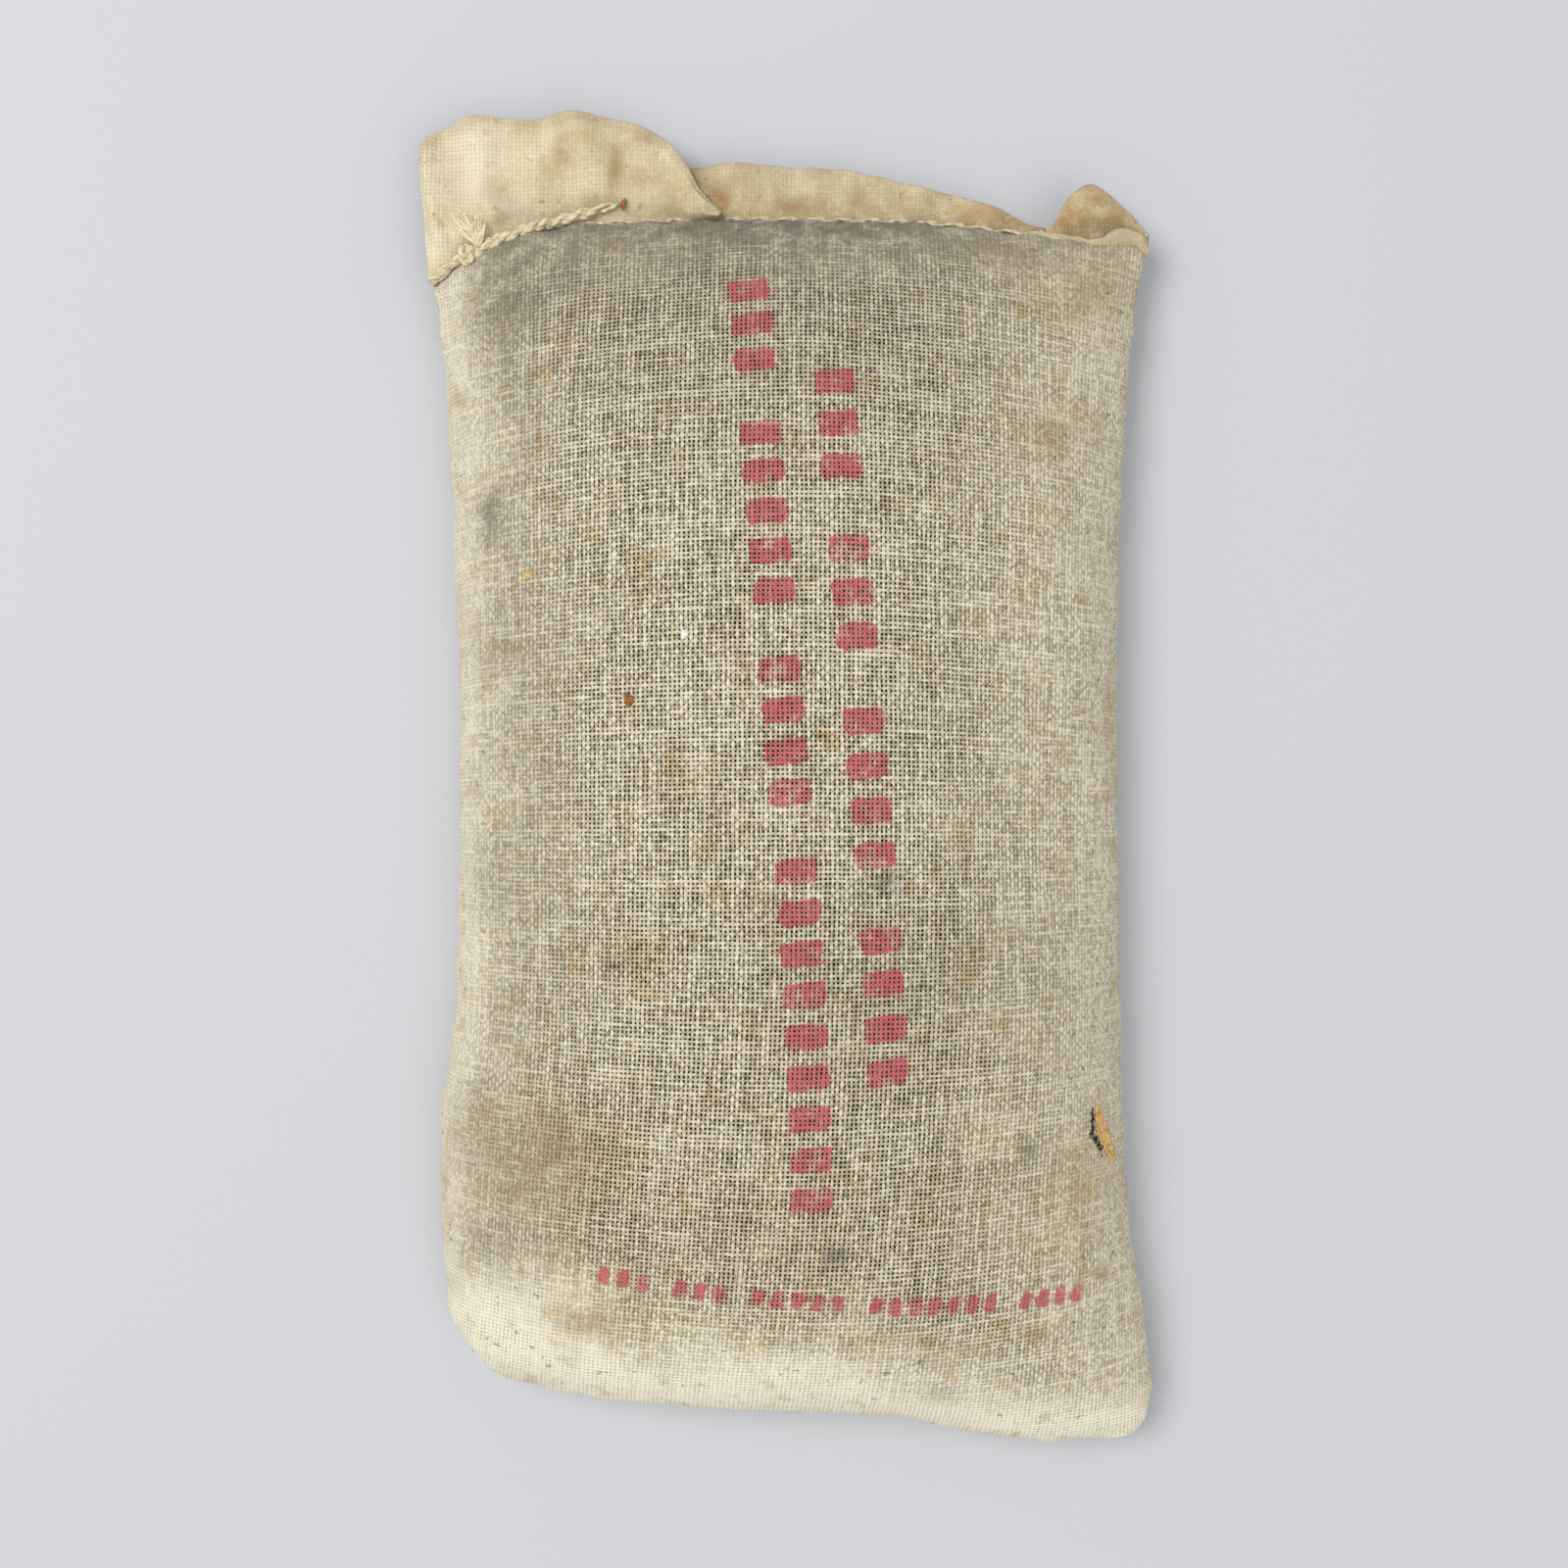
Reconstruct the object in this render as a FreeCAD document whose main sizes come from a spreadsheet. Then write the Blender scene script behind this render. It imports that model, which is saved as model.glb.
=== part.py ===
import FreeCAD, Part
import math
import os

import Sketcher
from FreeCAD import Placement, Rotation, Vector

# A sand-filled bench bag of plain-woven cotton, lying on its back.
# +X runs across the bag, +Y from its sewn bottom to its mouth, +Z up from the bench.
# The origin is on the bench, under the middle of the bag's outline. All sizes are in millimetres.
#
# The bag is one cloth blank: folded at the left edge, seamed inside at the right edge and at
# the bottom, filled, and closed by a row of thick thread across its mouth. Beyond that row the
# loose mouth cloth stands out as a collar, and its long left part folds along a crease.

os.makedirs("parts", exist_ok=True)
doc = FreeCAD.newDocument("bench_sandbag")


# ---------------------------------------------------------------- driving dimensions

SIZES = [
    ("seam_height", 10.5, "height of the seams above the bench"),
    ("cloth_thick", 0.6, "one layer of cloth"),
    ("layer_gap", 0.2, "air between the collar's two layers"),
    ("fill_gap", 0.3, "air between the cloth and what lies against it"),
    ("crown_power", 1.3, "arch above the seams: 1 is an ellipse, more is peaked"),
    ("belly_power", 0.55, "arch below the seams: 1 is an ellipse, less is fuller"),
    ("sink", 1.5, "how far the skin's poles reach below the bench before it is cut flat"),
    ("bench_depth", 30, "how far the trimming slab reaches below the bench"),
    ("bench_span", 400, "side of the trimming slab"),
    ("collar_thick", 0.7, "one layer of the collar, with its small creases"),
    ("needle_radius", 0.55, "needle thread of the closing row"),
    ("looper_radius", 0.7, "looper thread, which chains along the back"),
    ("tail_radius", 1.2, "twisted tail of the closing threads"),
    ("knot_radius", 2.3, "knot at the tail's root"),
    ("inner_thread_radius", 0.3, "sewing thread of the side and bottom seams"),
    ("side_fold_edge", 65, "inner edge of the cloth turned in along the right seam"),
    ("side_fold_start", -111, "where that cloth starts, above the bottom one"),
    ("side_fold_length", 222, "and how far up the bag it runs"),
    ("bottom_fold_start", 165, "how far below the middle the bottom strip's corner is"),
    ("bottom_fold_reach", 63, "bottom strip's width, most of which is outside the bag"),
    ("bottom_turn", -4.6, "slant of the bottom seam, in degrees"),
    ("fold_layers", 1.3, "both layers of a turned-in edge"),
    ("corner_thick", 1.5, "folded-over mouth corner, two layers"),
    ("knot_x", -68.6, "middle of the knot"),
    ("knot_y", 112.3, "middle of the knot"),
    ("knot_rise", 3.5, "middle of the knot above the seams"),
    ("tuft_thick", 0.9, "frayed thread end"),
    ("lip_length", 12.5, "dry curled lip of the tear"),
    ("lip_width", 2.6, "dry curled lip of the tear"),
    ("lip_thick", 0.4, "dry curled lip of the tear"),
    ("lip_x", 69.2, "middle of the lip's under face"),
    ("lip_y", -77.0, "middle of the lip's under face"),
    ("lip_rise", 6.85, "middle of the lip's under face above the seams"),
    ("lip_slope", 47, "how steeply the cloth falls at the tear, in degrees"),
    ("lip_lean", 24, "lip's lean from the bag's length, in degrees"),
]

# Cross-sections of the filled bag, from the bottom seam to the closing row: the two ends of
# each on the outline, how high the crown stands above the seams, and how far the section
# bows towards the mouth in its middle.
STATIONS = [
    (-51.0, -130.6, 71.9, -142.6, 0.0, 0.0),
    (-58.0, -128.2, 76.0, -139.4, 9.0, 0.0),
    (-64.5, -124.0, 78.4, -134.0, 15.0, 0.0),
    (-70.0, -116.0, 79.0, -125.0, 20.5, 0.0),
    (-73.2, -104.0, 76.6, -110.0, 25.0, 0.0),
    (-74.2, -82.0, 73.6, -86.0, 29.0, 0.0),
    (-71.5, -48.0, 72.6, -50.0, 31.5, 0.0),
    (-70.2, 0.0, 72.0, 0.0, 33.0, 0.0),
    (-71.0, 45.0, 72.0, 47.0, 31.8, 0.0),
    (-72.6, 74.0, 73.0, 80.0, 28.5, 0.0),
    (-73.8, 90.0, 73.8, 98.0, 23.5, 0.0),
    (-74.6, 100.0, 75.0, 108.0, 18.5, 1.0),
    (-74.4, 105.3, 76.4, 113.0, 12.5, 2.0),
    (-67.0, 111.0, 75.5, 116.2, 6.5, 2.4),
    (-48.0, 115.6, 66.0, 117.2, 0.0, 2.6),
]
STATION_COLUMNS = ("left_x", "left_y", "right_x", "right_y", "crown", "bow")
POLES_ACROSS = 12

# Outlines and thread routes in plan. The sketches and paths take these points from the sheet.
ROUTES = {
    # the closing row, from the left edge to the right
    "closing": [(-76.0, 106.6), (-67.5, 113.6), (-50.0, 118.6), (-20.0, 120.2),
                (20.0, 120.7), (52.0, 119.3), (76.8, 118.2)],
    # the collar's front layer, between the closing row and the crease
    "collar_front": [(-76.6, 108.2), (-67.9, 114.9), (-50.3, 119.9), (-32.0, 121.1),
                     (-15.6, 121.6), (-17.2, 128.1), (-78.6, 119.9)],
    # the collar's back layer, which runs on to the right past the flap
    "collar_back": [(-76.6, 108.2), (-67.9, 114.9), (-50.3, 119.9), (-20.0, 121.5),
                    (20.0, 122.0), (55.5, 120.6), (44.0, 124.8), (31.6, 128.2),
                    (12.5, 130.7), (-6.0, 129.6), (-78.6, 119.9)],
    # the folded-over corner at the right end of the mouth
    "corner": [(57.6, 120.5), (76.9, 119.4), (77.6, 121.6), (66.0, 127.4), (62.0, 125.6)],
    # the long flap beyond the crease
    "flap": [(-78.7, 121.9), (-78.7, 134.5), (-66.6, 142.6), (-56.0, 140.4), (-46.9, 142.6),
             (-34.0, 140.0), (-23.5, 133.5), (-19.0, 129.9)],
    # the tail of the closing threads, from its knot to its bare end
    "tail": [(-67.0, 112.6), (-58.0, 117.8), (-47.5, 120.2), (-36.0, 123.6)],
    # the other thread's frayed end
    "tuft": [(-68.1, 115.3), (-66.5, 115.8), (-64.4, 121.4), (-68.0, 121.9), (-72.2, 120.6)],
    # the sewing threads of the inner seams
    "side_sewing": [(72.6, -106.0), (68.6, -72.0), (67.7, -30.0), (67.0, 15.0),
                    (67.5, 60.0), (69.6, 98.0)],
    "bottom_sewing": [(-56.0, -120.5), (-24.0, -126.0), (12.0, -128.4), (44.0, -132.6),
                      (70.0, -134.0)],
}


def fill_sheet(name, rows):
    """A spreadsheet of plain numbers, one a row, each with its alias and what it is."""
    sheet = doc.addObject("Spreadsheet::Sheet", name)
    for row, (alias, value, note) in enumerate(rows, 1):
        sheet.set(f"A{row}", f"'{alias}")
        sheet.set(f"B{row}", str(value))
        sheet.set(f"C{row}", f"'{note}")
        sheet.setAlias(f"B{row}", alias)
    return sheet


def station_rows():
    for place, values in enumerate(STATIONS):
        for column, value in zip(STATION_COLUMNS, values):
            yield f"{column}_{place:02d}", value, f"section {place} of the filled bag"


def route_rows():
    for route, points in ROUTES.items():
        for place, point in enumerate(points):
            for axis, value in zip("xy", point):
                yield f"{route}_{axis}_{place:02d}", value, f"{route}, point {place}"


sizes = fill_sheet("Sizes", SIZES)
stations = fill_sheet("Stations", station_rows())
routes = fill_sheet("Routes", route_rows())
doc.recompute()


def size(alias):
    return float(sizes.get(alias))


def route_points(route, height):
    """A route's points from the sheet, all at one height."""
    return [
        Vector(routes.get(f"{route}_x_{place:02d}"), routes.get(f"{route}_y_{place:02d}"), height)
        for place in range(len(ROUTES[route]))
    ]


# ---------------------------------------------------------------- ways to make a piece

def skin(name, inset, first, last):
    """The crowned skin of the filled bag, or of what fits inside it by the inset.

    Each section between two outline points is a row of poles on a rounded arch above the
    seams and another below them. The first and last rows have no height, so the upper and the
    lower face meet in a seam all round.
    """
    upper = []
    lower = []
    for place in range(first, last + 1):
        lx, ly, rx, ry, crown, bow = (
            float(stations.get(f"{column}_{place:02d}")) for column in STATION_COLUMNS)
        at_end = (place == last) - (place == first)
        middle = Vector((lx + rx) / 2, (ly + ry) / 2 - at_end * inset, size("seam_height"))
        across = Vector(rx - lx, ry - ly, 0)
        half_width = across.Length / 2 - inset
        height = 0 if at_end else crown - inset
        depth = min(height, size("seam_height") + size("sink") - inset)
        rows = ([], [])
        for column in range(POLES_ACROSS + 1):
            turn = math.pi * column / POLES_ACROSS
            side = -math.cos(turn)
            plan = middle + across.normalize() * half_width * side
            plan.y += bow * (1 - side ** 2)
            arch = abs(math.sin(turn))
            rows[0].append(plan + Vector(0, 0, height * arch ** size("crown_power")))
            drop = min(height * arch ** size("belly_power"), depth)
            rows[1].append(plan - Vector(0, 0, drop))
        upper.append(rows[0])
        lower.append(rows[1])
    faces = []
    for poles in (upper, lower):
        surface = Part.BSplineSurface()
        surface.buildFromPolesMultsKnots(
            poles, clamped(len(poles)), clamped(POLES_ACROSS + 1),
            knots(len(poles)), knots(POLES_ACROSS + 1), False, False, 3, 3)
        faces.append(surface.toShape())
    made = doc.addObject("Part::Feature", f"{name}_skin")
    made.Shape = Part.makeSolid(Part.makeShell(faces))
    return made


def clamped(poles):
    """Knot multiplicities of a cubic curve that starts and ends on its own end poles."""
    return [4] + [1] * (poles - 4) + [4]


def knots(poles):
    return list(range(poles - 2))


def filled_shape(name, inset_alias, first, last):
    """That skin, cut flat where the bag lies on the bench."""
    inset = f"({inset_alias})"
    slab = box(f"{name}_bench", "Sizes.bench_span", "Sizes.bench_span", "Sizes.bench_depth",
               "placement(vector(-Sizes.bench_span / 2; -Sizes.bench_span / 2;"
               f" {inset} - Sizes.bench_depth); rotation(vector(0; 0; 1); 0))")
    doc.recompute()
    value = slab.Placement.Base.z + size("bench_depth")
    return boolean("Part::Cut", name, skin(name, value, first, last), slab)


def box(name, length, width, height, placement):
    made = doc.addObject("Part::Box", name)
    made.setExpression("Length", length)
    made.setExpression("Width", width)
    made.setExpression("Height", height)
    made.setExpression("Placement", placement)
    return made


def boolean(kind, name, base, tool):
    made = doc.addObject(kind, name)
    made.Base = base
    made.Tool = tool
    return made


def origin_plane(body, role):
    return next(f for f in body.Origin.OriginFeatures if f.Role == role)


def flat_piece(label, route, thick, height):
    """A body padded up from a closed outline whose corners are the route's points."""
    body = doc.addObject("PartDesign::Body", label)
    sketch = body.newObject("Sketcher::SketchObject", f"{label}_outline")
    sketch.AttachmentSupport = [(origin_plane(body, "XY_Plane"), "")]
    sketch.MapMode = "FlatFace"
    sketch.setExpression("AttachmentOffset.Base.z", height)
    corners = route_points(route, 0)
    for start, end in zip(corners, corners[1:] + corners[:1]):
        sketch.addGeometry(Part.LineSegment(start, end), False)
    for place in range(len(corners)):
        after = (place + 1) % len(corners)
        sketch.addConstraint(Sketcher.Constraint("Coincident", place, 2, after, 1))
    for place, corner in enumerate(corners):
        for kind, axis, value in (("DistanceX", "x", corner.x), ("DistanceY", "y", corner.y)):
            index = sketch.addConstraint(Sketcher.Constraint(kind, -1, 1, place, 1, value))
            sketch.setExpression(f"Constraints[{index}]", f"Routes.{route}_{axis}_{place:02d}")
    pad = body.newObject("PartDesign::Pad", f"{label}_pad")
    pad.Profile = sketch
    pad.setExpression("Length", thick)
    return body


def rounded_path(name, points):
    """Straight runs joined by tangent arcs. Each arc takes 0.45 of the shorter of its two runs."""
    edges = []
    start = points[0]
    radii = []
    for before, corner, after in zip(points, points[1:], points[2:]):
        back = (before - corner).normalize()
        ahead = (after - corner).normalize()
        half_turn = (math.pi - back.getAngle(ahead)) / 2
        take = 0.45 * min((before - corner).Length, (after - corner).Length)
        radius = take / math.tan(half_turn)
        middle = (back + ahead).normalize()
        arc_start = corner + back * take
        arc_end = corner + ahead * take
        arc_middle = corner + middle * (radius / math.cos(half_turn) - radius)
        edges.append(Part.LineSegment(start, arc_start).toShape())
        edges.append(Part.Arc(arc_start, arc_middle, arc_end).toShape())
        start = arc_end
        radii.append(radius)
    edges.append(Part.LineSegment(start, points[-1]).toShape())
    path = doc.addObject("Part::Feature", f"{name}_path")
    path.Shape = Part.Wire(edges)
    print(f"{name}: bend radii", [round(r, 1) for r in radii], "mm")
    return path


def tube(label, route, radius_alias, height):
    """A round thread of that radius, swept along the route at one height."""
    points = route_points(route, height)
    path = rounded_path(label, points)
    ahead = (points[1] - points[0]).normalize()
    ring = doc.addObject("Part::Circle", f"{label}_section")
    ring.setExpression("Radius", f"Sizes.{radius_alias}")
    ring.Placement = Placement(points[0], Rotation(Vector(0, 0, 1), ahead))
    sweep = doc.addObject("Part::Sweep", label)
    sweep.Sections = [ring]
    sweep.Spine = (path, [f"Edge{n + 1}" for n in range(len(path.Shape.Edges))])
    sweep.Solid = True
    doc.recompute()
    expected = math.pi * size(radius_alias) ** 2 * path.Shape.Length
    print(f"{label}: length {path.Shape.Length:.2f} mm, volume / (section x length)"
          f" {sweep.Shape.Volume / expected:.4f}")
    return sweep


# ---------------------------------------------------------------- the filled bag

CLOTH = "Sizes.cloth_thick"
FILL = "Sizes.cloth_thick + Sizes.fill_gap"
LAST = len(STATIONS) - 1

outside = filled_shape("outside", "0", 0, LAST)
cavity = filled_shape("cavity", CLOTH, 0, LAST)
bag_cloth = boolean("Part::Cut", "bag_cloth", outside, cavity)


def side_region(name, spare, above):
    """The stretch along the right seam that the turned-in edge takes, and spare room around it."""
    return box(name, "Sizes.bench_span / 4", f"Sizes.side_fold_length + 2 * ({spare})",
               f"Sizes.fold_layers + ({spare}) + ({above})",
               f"placement(vector(Sizes.side_fold_edge - ({spare});"
               f" Sizes.side_fold_start - ({spare});"
               f" Sizes.seam_height - Sizes.fold_layers / 2 - ({spare}));"
               " rotation(vector(0; 0; 1); 0))")


def bottom_region(name, spare, above):
    """The same along the bottom seam, which slants across the bag."""
    return box(name, "Sizes.bench_span", f"Sizes.bottom_fold_reach + ({spare})",
               f"Sizes.fold_layers + ({spare}) + ({above})",
               "placement(vector(-Sizes.bench_span / 2; -Sizes.bottom_fold_start;"
               f" Sizes.seam_height - Sizes.fold_layers / 2 - ({spare}));"
               " rotation(vector(0; 0; 1); Sizes.bottom_turn))")


# The turned-in edges lie level with the seams, inside the cloth, and the sand packs round them.
THREAD_ROOM = "2 * Sizes.inner_thread_radius + 2 * Sizes.fill_gap"
side_seam_allowance = boolean(
    "Part::Common", "side_seam_allowance",
    filled_shape("side_space", FILL, 0, LAST), side_region("side_strip", "0", "0"))
bottom_seam_allowance = boolean(
    "Part::Common", "bottom_seam_allowance",
    filled_shape("bottom_space", FILL, 0, LAST), bottom_region("bottom_strip", "0", "0"))
sand_beside = boolean(
    "Part::Cut", "sand_beside", filled_shape("sand_space", FILL, 1, LAST - 1),
    side_region("side_room", "Sizes.fill_gap", THREAD_ROOM))
sand_fill = boolean(
    "Part::Cut", "sand_fill", sand_beside,
    bottom_region("bottom_room", "Sizes.fill_gap", THREAD_ROOM))

SEWING_HEIGHT = (size("seam_height") + size("fold_layers") / 2
                 + size("inner_thread_radius") + size("fill_gap") / 4)
side_seam_thread = tube("side_seam_thread", "side_sewing", "inner_thread_radius", SEWING_HEIGHT)
bottom_seam_thread = tube("bottom_seam_thread", "bottom_sewing", "inner_thread_radius",
                          SEWING_HEIGHT)


# ---------------------------------------------------------------- the mouth

FRONT_LAYER = "Sizes.seam_height + Sizes.layer_gap / 2"
BACK_LAYER = "Sizes.seam_height - Sizes.layer_gap / 2 - Sizes.collar_thick"
ON_COLLAR = "Sizes.seam_height + Sizes.layer_gap + Sizes.collar_thick"

collar_front = flat_piece("collar_front", "collar_front", "Sizes.collar_thick", FRONT_LAYER)
collar_back = flat_piece("collar_back", "collar_back", "Sizes.collar_thick", BACK_LAYER)
collar_corner = flat_piece("collar_corner", "corner", "Sizes.corner_thick",
                           "Sizes.seam_height - Sizes.corner_thick / 2")
flap_front = flat_piece("flap_front", "flap", "Sizes.collar_thick", FRONT_LAYER)
flap_back = flat_piece("flap_back", "flap", "Sizes.collar_thick", BACK_LAYER)

THREAD_GAP = size("fill_gap") / 4
closing_needle_thread = tube("closing_needle_thread", "closing", "needle_radius",
                             size("seam_height") + size("needle_radius") + THREAD_GAP)
closing_looper_thread = tube("closing_looper_thread", "closing", "looper_radius",
                             size("seam_height") - size("looper_radius") - THREAD_GAP)

collar_face = size("seam_height") + size("layer_gap") / 2 + size("collar_thick")
TAIL_HEIGHT = collar_face + size("tail_radius") + size("fill_gap")
closing_thread_tail = tube("closing_thread_tail", "tail", "tail_radius", TAIL_HEIGHT)

closing_thread_knot = doc.addObject("Part::Sphere", "closing_thread_knot")
closing_thread_knot.setExpression("Radius", "Sizes.knot_radius")
closing_thread_knot.setExpression(
    "Placement", "placement(vector(Sizes.knot_x; Sizes.knot_y; Sizes.seam_height + Sizes.knot_rise);"
    " rotation(vector(0; 0; 1); 0))")

frayed_thread_end = flat_piece("frayed_thread_end", "tuft", "Sizes.tuft_thick", ON_COLLAR)


# ---------------------------------------------------------------- the tear's dry lip

tear_lip = doc.addObject("PartDesign::Body", "tear_lip")
lip_sketch = tear_lip.newObject("Sketcher::SketchObject", "tear_lip_outline")
lip_sketch.AttachmentSupport = [(origin_plane(tear_lip, "XY_Plane"), "")]
lip_sketch.MapMode = "FlatFace"
half_long = size("lip_length") / 2
half_wide = size("lip_width") / 2
for side in (1, -1):
    ends = (Vector(0, -half_long, 0), Vector(0, half_long, 0))
    lip_sketch.addGeometry(Part.Arc(ends[0], Vector(side * half_wide, 0, 0), ends[1]), False)
lip_sketch.addConstraint(Sketcher.Constraint("Coincident", 0, 1, 1, 2))
lip_sketch.addConstraint(Sketcher.Constraint("Coincident", 0, 2, 1, 1))
lip_pad = tear_lip.newObject("PartDesign::Pad", "tear_lip_pad")
lip_pad.Profile = lip_sketch
lip_pad.setExpression("Length", "Sizes.lip_thick")
tear_lip.setExpression(
    "Placement",
    "placement(vector(Sizes.lip_x; Sizes.lip_y; Sizes.seam_height + Sizes.lip_rise);"
    " rotation(vector(0; 1; 0); Sizes.lip_slope) * rotation(vector(0; 0; 1); Sizes.lip_lean))")


# ---------------------------------------------------------------- check and write

doc.recompute()
PIECES = [
    bag_cloth, sand_fill, side_seam_allowance, bottom_seam_allowance, side_seam_thread,
    bottom_seam_thread, collar_front, collar_back, collar_corner, flap_front, flap_back,
    closing_needle_thread, closing_looper_thread, closing_thread_tail, closing_thread_knot,
    frayed_thread_end, tear_lip,
]
failed = [o.Label for o in doc.Objects if {"Invalid", "Error"} & set(o.State)]
if failed:
    raise RuntimeError(f"these objects failed: {failed}")
for piece in PIECES:
    if piece.Shape.isNull() or not piece.Shape.isValid():
        raise RuntimeError(f"{piece.Label} has no valid shape")
    piece.Shape.exportStep(f"parts/{piece.Label}.step")
    print(f"{piece.Label}: {len(piece.Shape.Solids)} solid, {piece.Shape.Volume:.1f} mm3")
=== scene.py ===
"""Looks of a small sand-filled cotton bench bag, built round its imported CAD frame.

All sizes are in millimetres until a mesh is made, which turns them into metres.
"""

import bpy
import numpy as np
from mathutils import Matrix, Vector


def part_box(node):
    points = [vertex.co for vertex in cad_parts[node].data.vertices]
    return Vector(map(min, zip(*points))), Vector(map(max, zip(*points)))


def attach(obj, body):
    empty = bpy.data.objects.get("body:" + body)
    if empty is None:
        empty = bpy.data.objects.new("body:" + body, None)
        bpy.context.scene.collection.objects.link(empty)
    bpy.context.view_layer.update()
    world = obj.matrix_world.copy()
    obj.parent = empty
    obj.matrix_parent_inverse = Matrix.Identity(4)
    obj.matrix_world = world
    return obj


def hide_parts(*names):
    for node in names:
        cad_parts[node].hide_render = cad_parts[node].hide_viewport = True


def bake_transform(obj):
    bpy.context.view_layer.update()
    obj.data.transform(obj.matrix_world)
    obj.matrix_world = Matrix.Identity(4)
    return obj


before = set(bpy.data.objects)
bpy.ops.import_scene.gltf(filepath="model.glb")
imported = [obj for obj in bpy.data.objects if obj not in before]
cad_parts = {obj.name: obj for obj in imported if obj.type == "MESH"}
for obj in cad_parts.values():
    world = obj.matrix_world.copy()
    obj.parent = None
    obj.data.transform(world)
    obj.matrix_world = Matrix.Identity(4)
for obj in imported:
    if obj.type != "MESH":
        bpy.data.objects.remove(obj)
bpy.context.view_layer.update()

PI = np.pi
MM = 0.001


# ---------------------------------------------------------------- driving sizes

SEAM_Z = 10.5            # height of the seams above the bench
CROWN = 33.0             # how far the top stands above the seams
ACROSS, ALONG = 150, 270  # grid steps of one side of the bag
PITCH = 0.945            # one thread of the bag's weave, with its gap
FINE_PITCH = 0.87        # and of the mouth's, which isn't stretched
PUCKER = 0.55            # how deep the gathers at the seams are
STITCH = 6.0             # one stitch of the closing row
ROW_STEPS = 900          # points along the closing row
PLIES_END = 32           # how far two more plies run along it from the knot
DM = 100                 # millimetres in one unit of the cloth's UV map
SIDE_RUN, END_RUN = 85, 150   # cloth from the bag's middle to a side and to an end
BARE = 4.0               # a distance with no print and no tear near

LEFT_EDGE = [(-67.5, -124.3), (-72.2, -115), (-74.0, -98), (-74.4, -80), (-73.4, -63),
             (-71.0, -46), (-70.2, -10), (-70.3, 20), (-71.6, 52), (-73.2, 84), (-76.0, 106.6)]
RIGHT_EDGE = [(75.6, -141.6), (78.6, -137), (79.2, -129), (77.3, -113.5), (73.7, -86),
              (72.5, -44), (71.9, 0), (71.9, 31), (72.8, 62), (75.4, 98), (77.5, 110), (78.2, 116.6)]
BOTTOM_EDGE = [(-67.5, -124.3), (-61.5, -129), (-51, -131.4), (-38, -133.7), (-10, -135.6),
               (21, -136.8), (42, -141), (60, -142.9), (75.6, -141.6)]
CLOSING_ROW = [(-76.0, 106.6), (-67.5, 113.2), (-59.6, 116.6), (-47, 119.0), (-34, 119.8),
               (-8, 120.3), (21, 119.9), (38, 118.9), (50, 117.5), (62, 117.0), (70, 117.4),
               (78.2, 116.6)]


# ---------------------------------------------------------------- lines and grids

def along(points, shares):
    """Places on the Catmull-Rom curve through points, at shares (0 to 1) of its length.
    Each span weighs its four neighbours by (-t+2t2-t3, 2-5t2+3t3, t+4t2-3t3, t3-t2) / 2."""
    p = np.asarray(points, float)
    p = np.vstack([2 * p[0] - p[1], p, 2 * p[-1] - p[-2]])
    t = np.linspace(0, 1, 40, endpoint=False)
    weigh = np.stack([2 * t**2 - t - t**3, 2 - 5 * t**2 + 3 * t**3,
                      t + 4 * t**2 - 3 * t**3, t**3 - t**2]) / 2
    near = np.stack([p[:-3], p[1:-2], p[2:-1], p[3:]])
    fine = np.einsum("wt,wnd->ntd", weigh, near).reshape(-1, p.shape[1])
    fine = np.vstack([fine, p[-2]])
    run = runs(fine)
    at = np.asarray(shares) * run[-1]
    return np.stack([np.interp(at, run, fine[:, i]) for i in range(p.shape[1])], -1)


def patch(low, high, left, right, s, t):
    """Coons patch: the two ruled surfaces between opposite edges, less the one between corners."""
    s_, t_ = s[None, :, None], t[:, None, None]
    lo, hi, le, ri = along(low, s), along(high, s), along(left, t), along(right, t)
    ruled = (1 - t_) * lo[None] + t_ * hi[None] + (1 - s_) * le[:, None] + s_ * ri[:, None]
    corners = ((1 - s_) * (1 - t_) * lo[0] + s_ * (1 - t_) * lo[-1]
               + (1 - s_) * t_ * hi[0] + s_ * t_ * hi[-1])
    return ruled - corners


def waves(x, sizes, seed):
    """Sum of sines of x at the given wavelengths, each with its own phase, about -1 to 1."""
    phase = np.random.default_rng(seed).uniform(0, 2 * PI, len(sizes))
    each = [np.sin(2 * PI * x / size + p) for size, p in zip(sizes, phase)]
    return sum(each) / len(sizes) ** 0.5 / 0.9


def lumps(x, y, size, seed):
    """Soft random relief: eight plane sine waves of about one size in random directions."""
    pick = np.random.default_rng(seed)
    turn, phase = pick.uniform(0, PI, 8), pick.uniform(0, 2 * PI, 8)
    span = size * pick.uniform(0.7, 1.5, 8)
    each = [np.sin(2 * PI * (x * np.cos(a) + y * np.sin(a)) / w + p)
            for a, p, w in zip(turn, phase, span)]
    return sum(each) / 4


def smooth(x, low, high):
    """Smoothstep of x from 0 at low to 1 at high."""
    t = np.clip((x - low) / (high - low), 0, 1)
    return t * t * (3 - 2 * t)


def runs(path):
    """Length of a line of points up to each one."""
    return np.concatenate([[0], np.cumsum(np.linalg.norm(np.diff(path, axis=0), axis=1))])


def unit(ways):
    """Vectors, each divided by its length."""
    return ways / (np.linalg.norm(ways, axis=-1, keepdims=True) + 1e-9)


def placed(name, data):
    """A new object in the scene."""
    made = bpy.data.objects.new(name, data)
    bpy.context.scene.collection.objects.link(made)
    return made


def thicken(piece, name, thickness):
    """Gives a sheet its thickness in metres, half to each side."""
    layer = piece.modifiers.new(name, "SOLIDIFY")
    layer.thickness, layer.offset = thickness, 0


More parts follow.
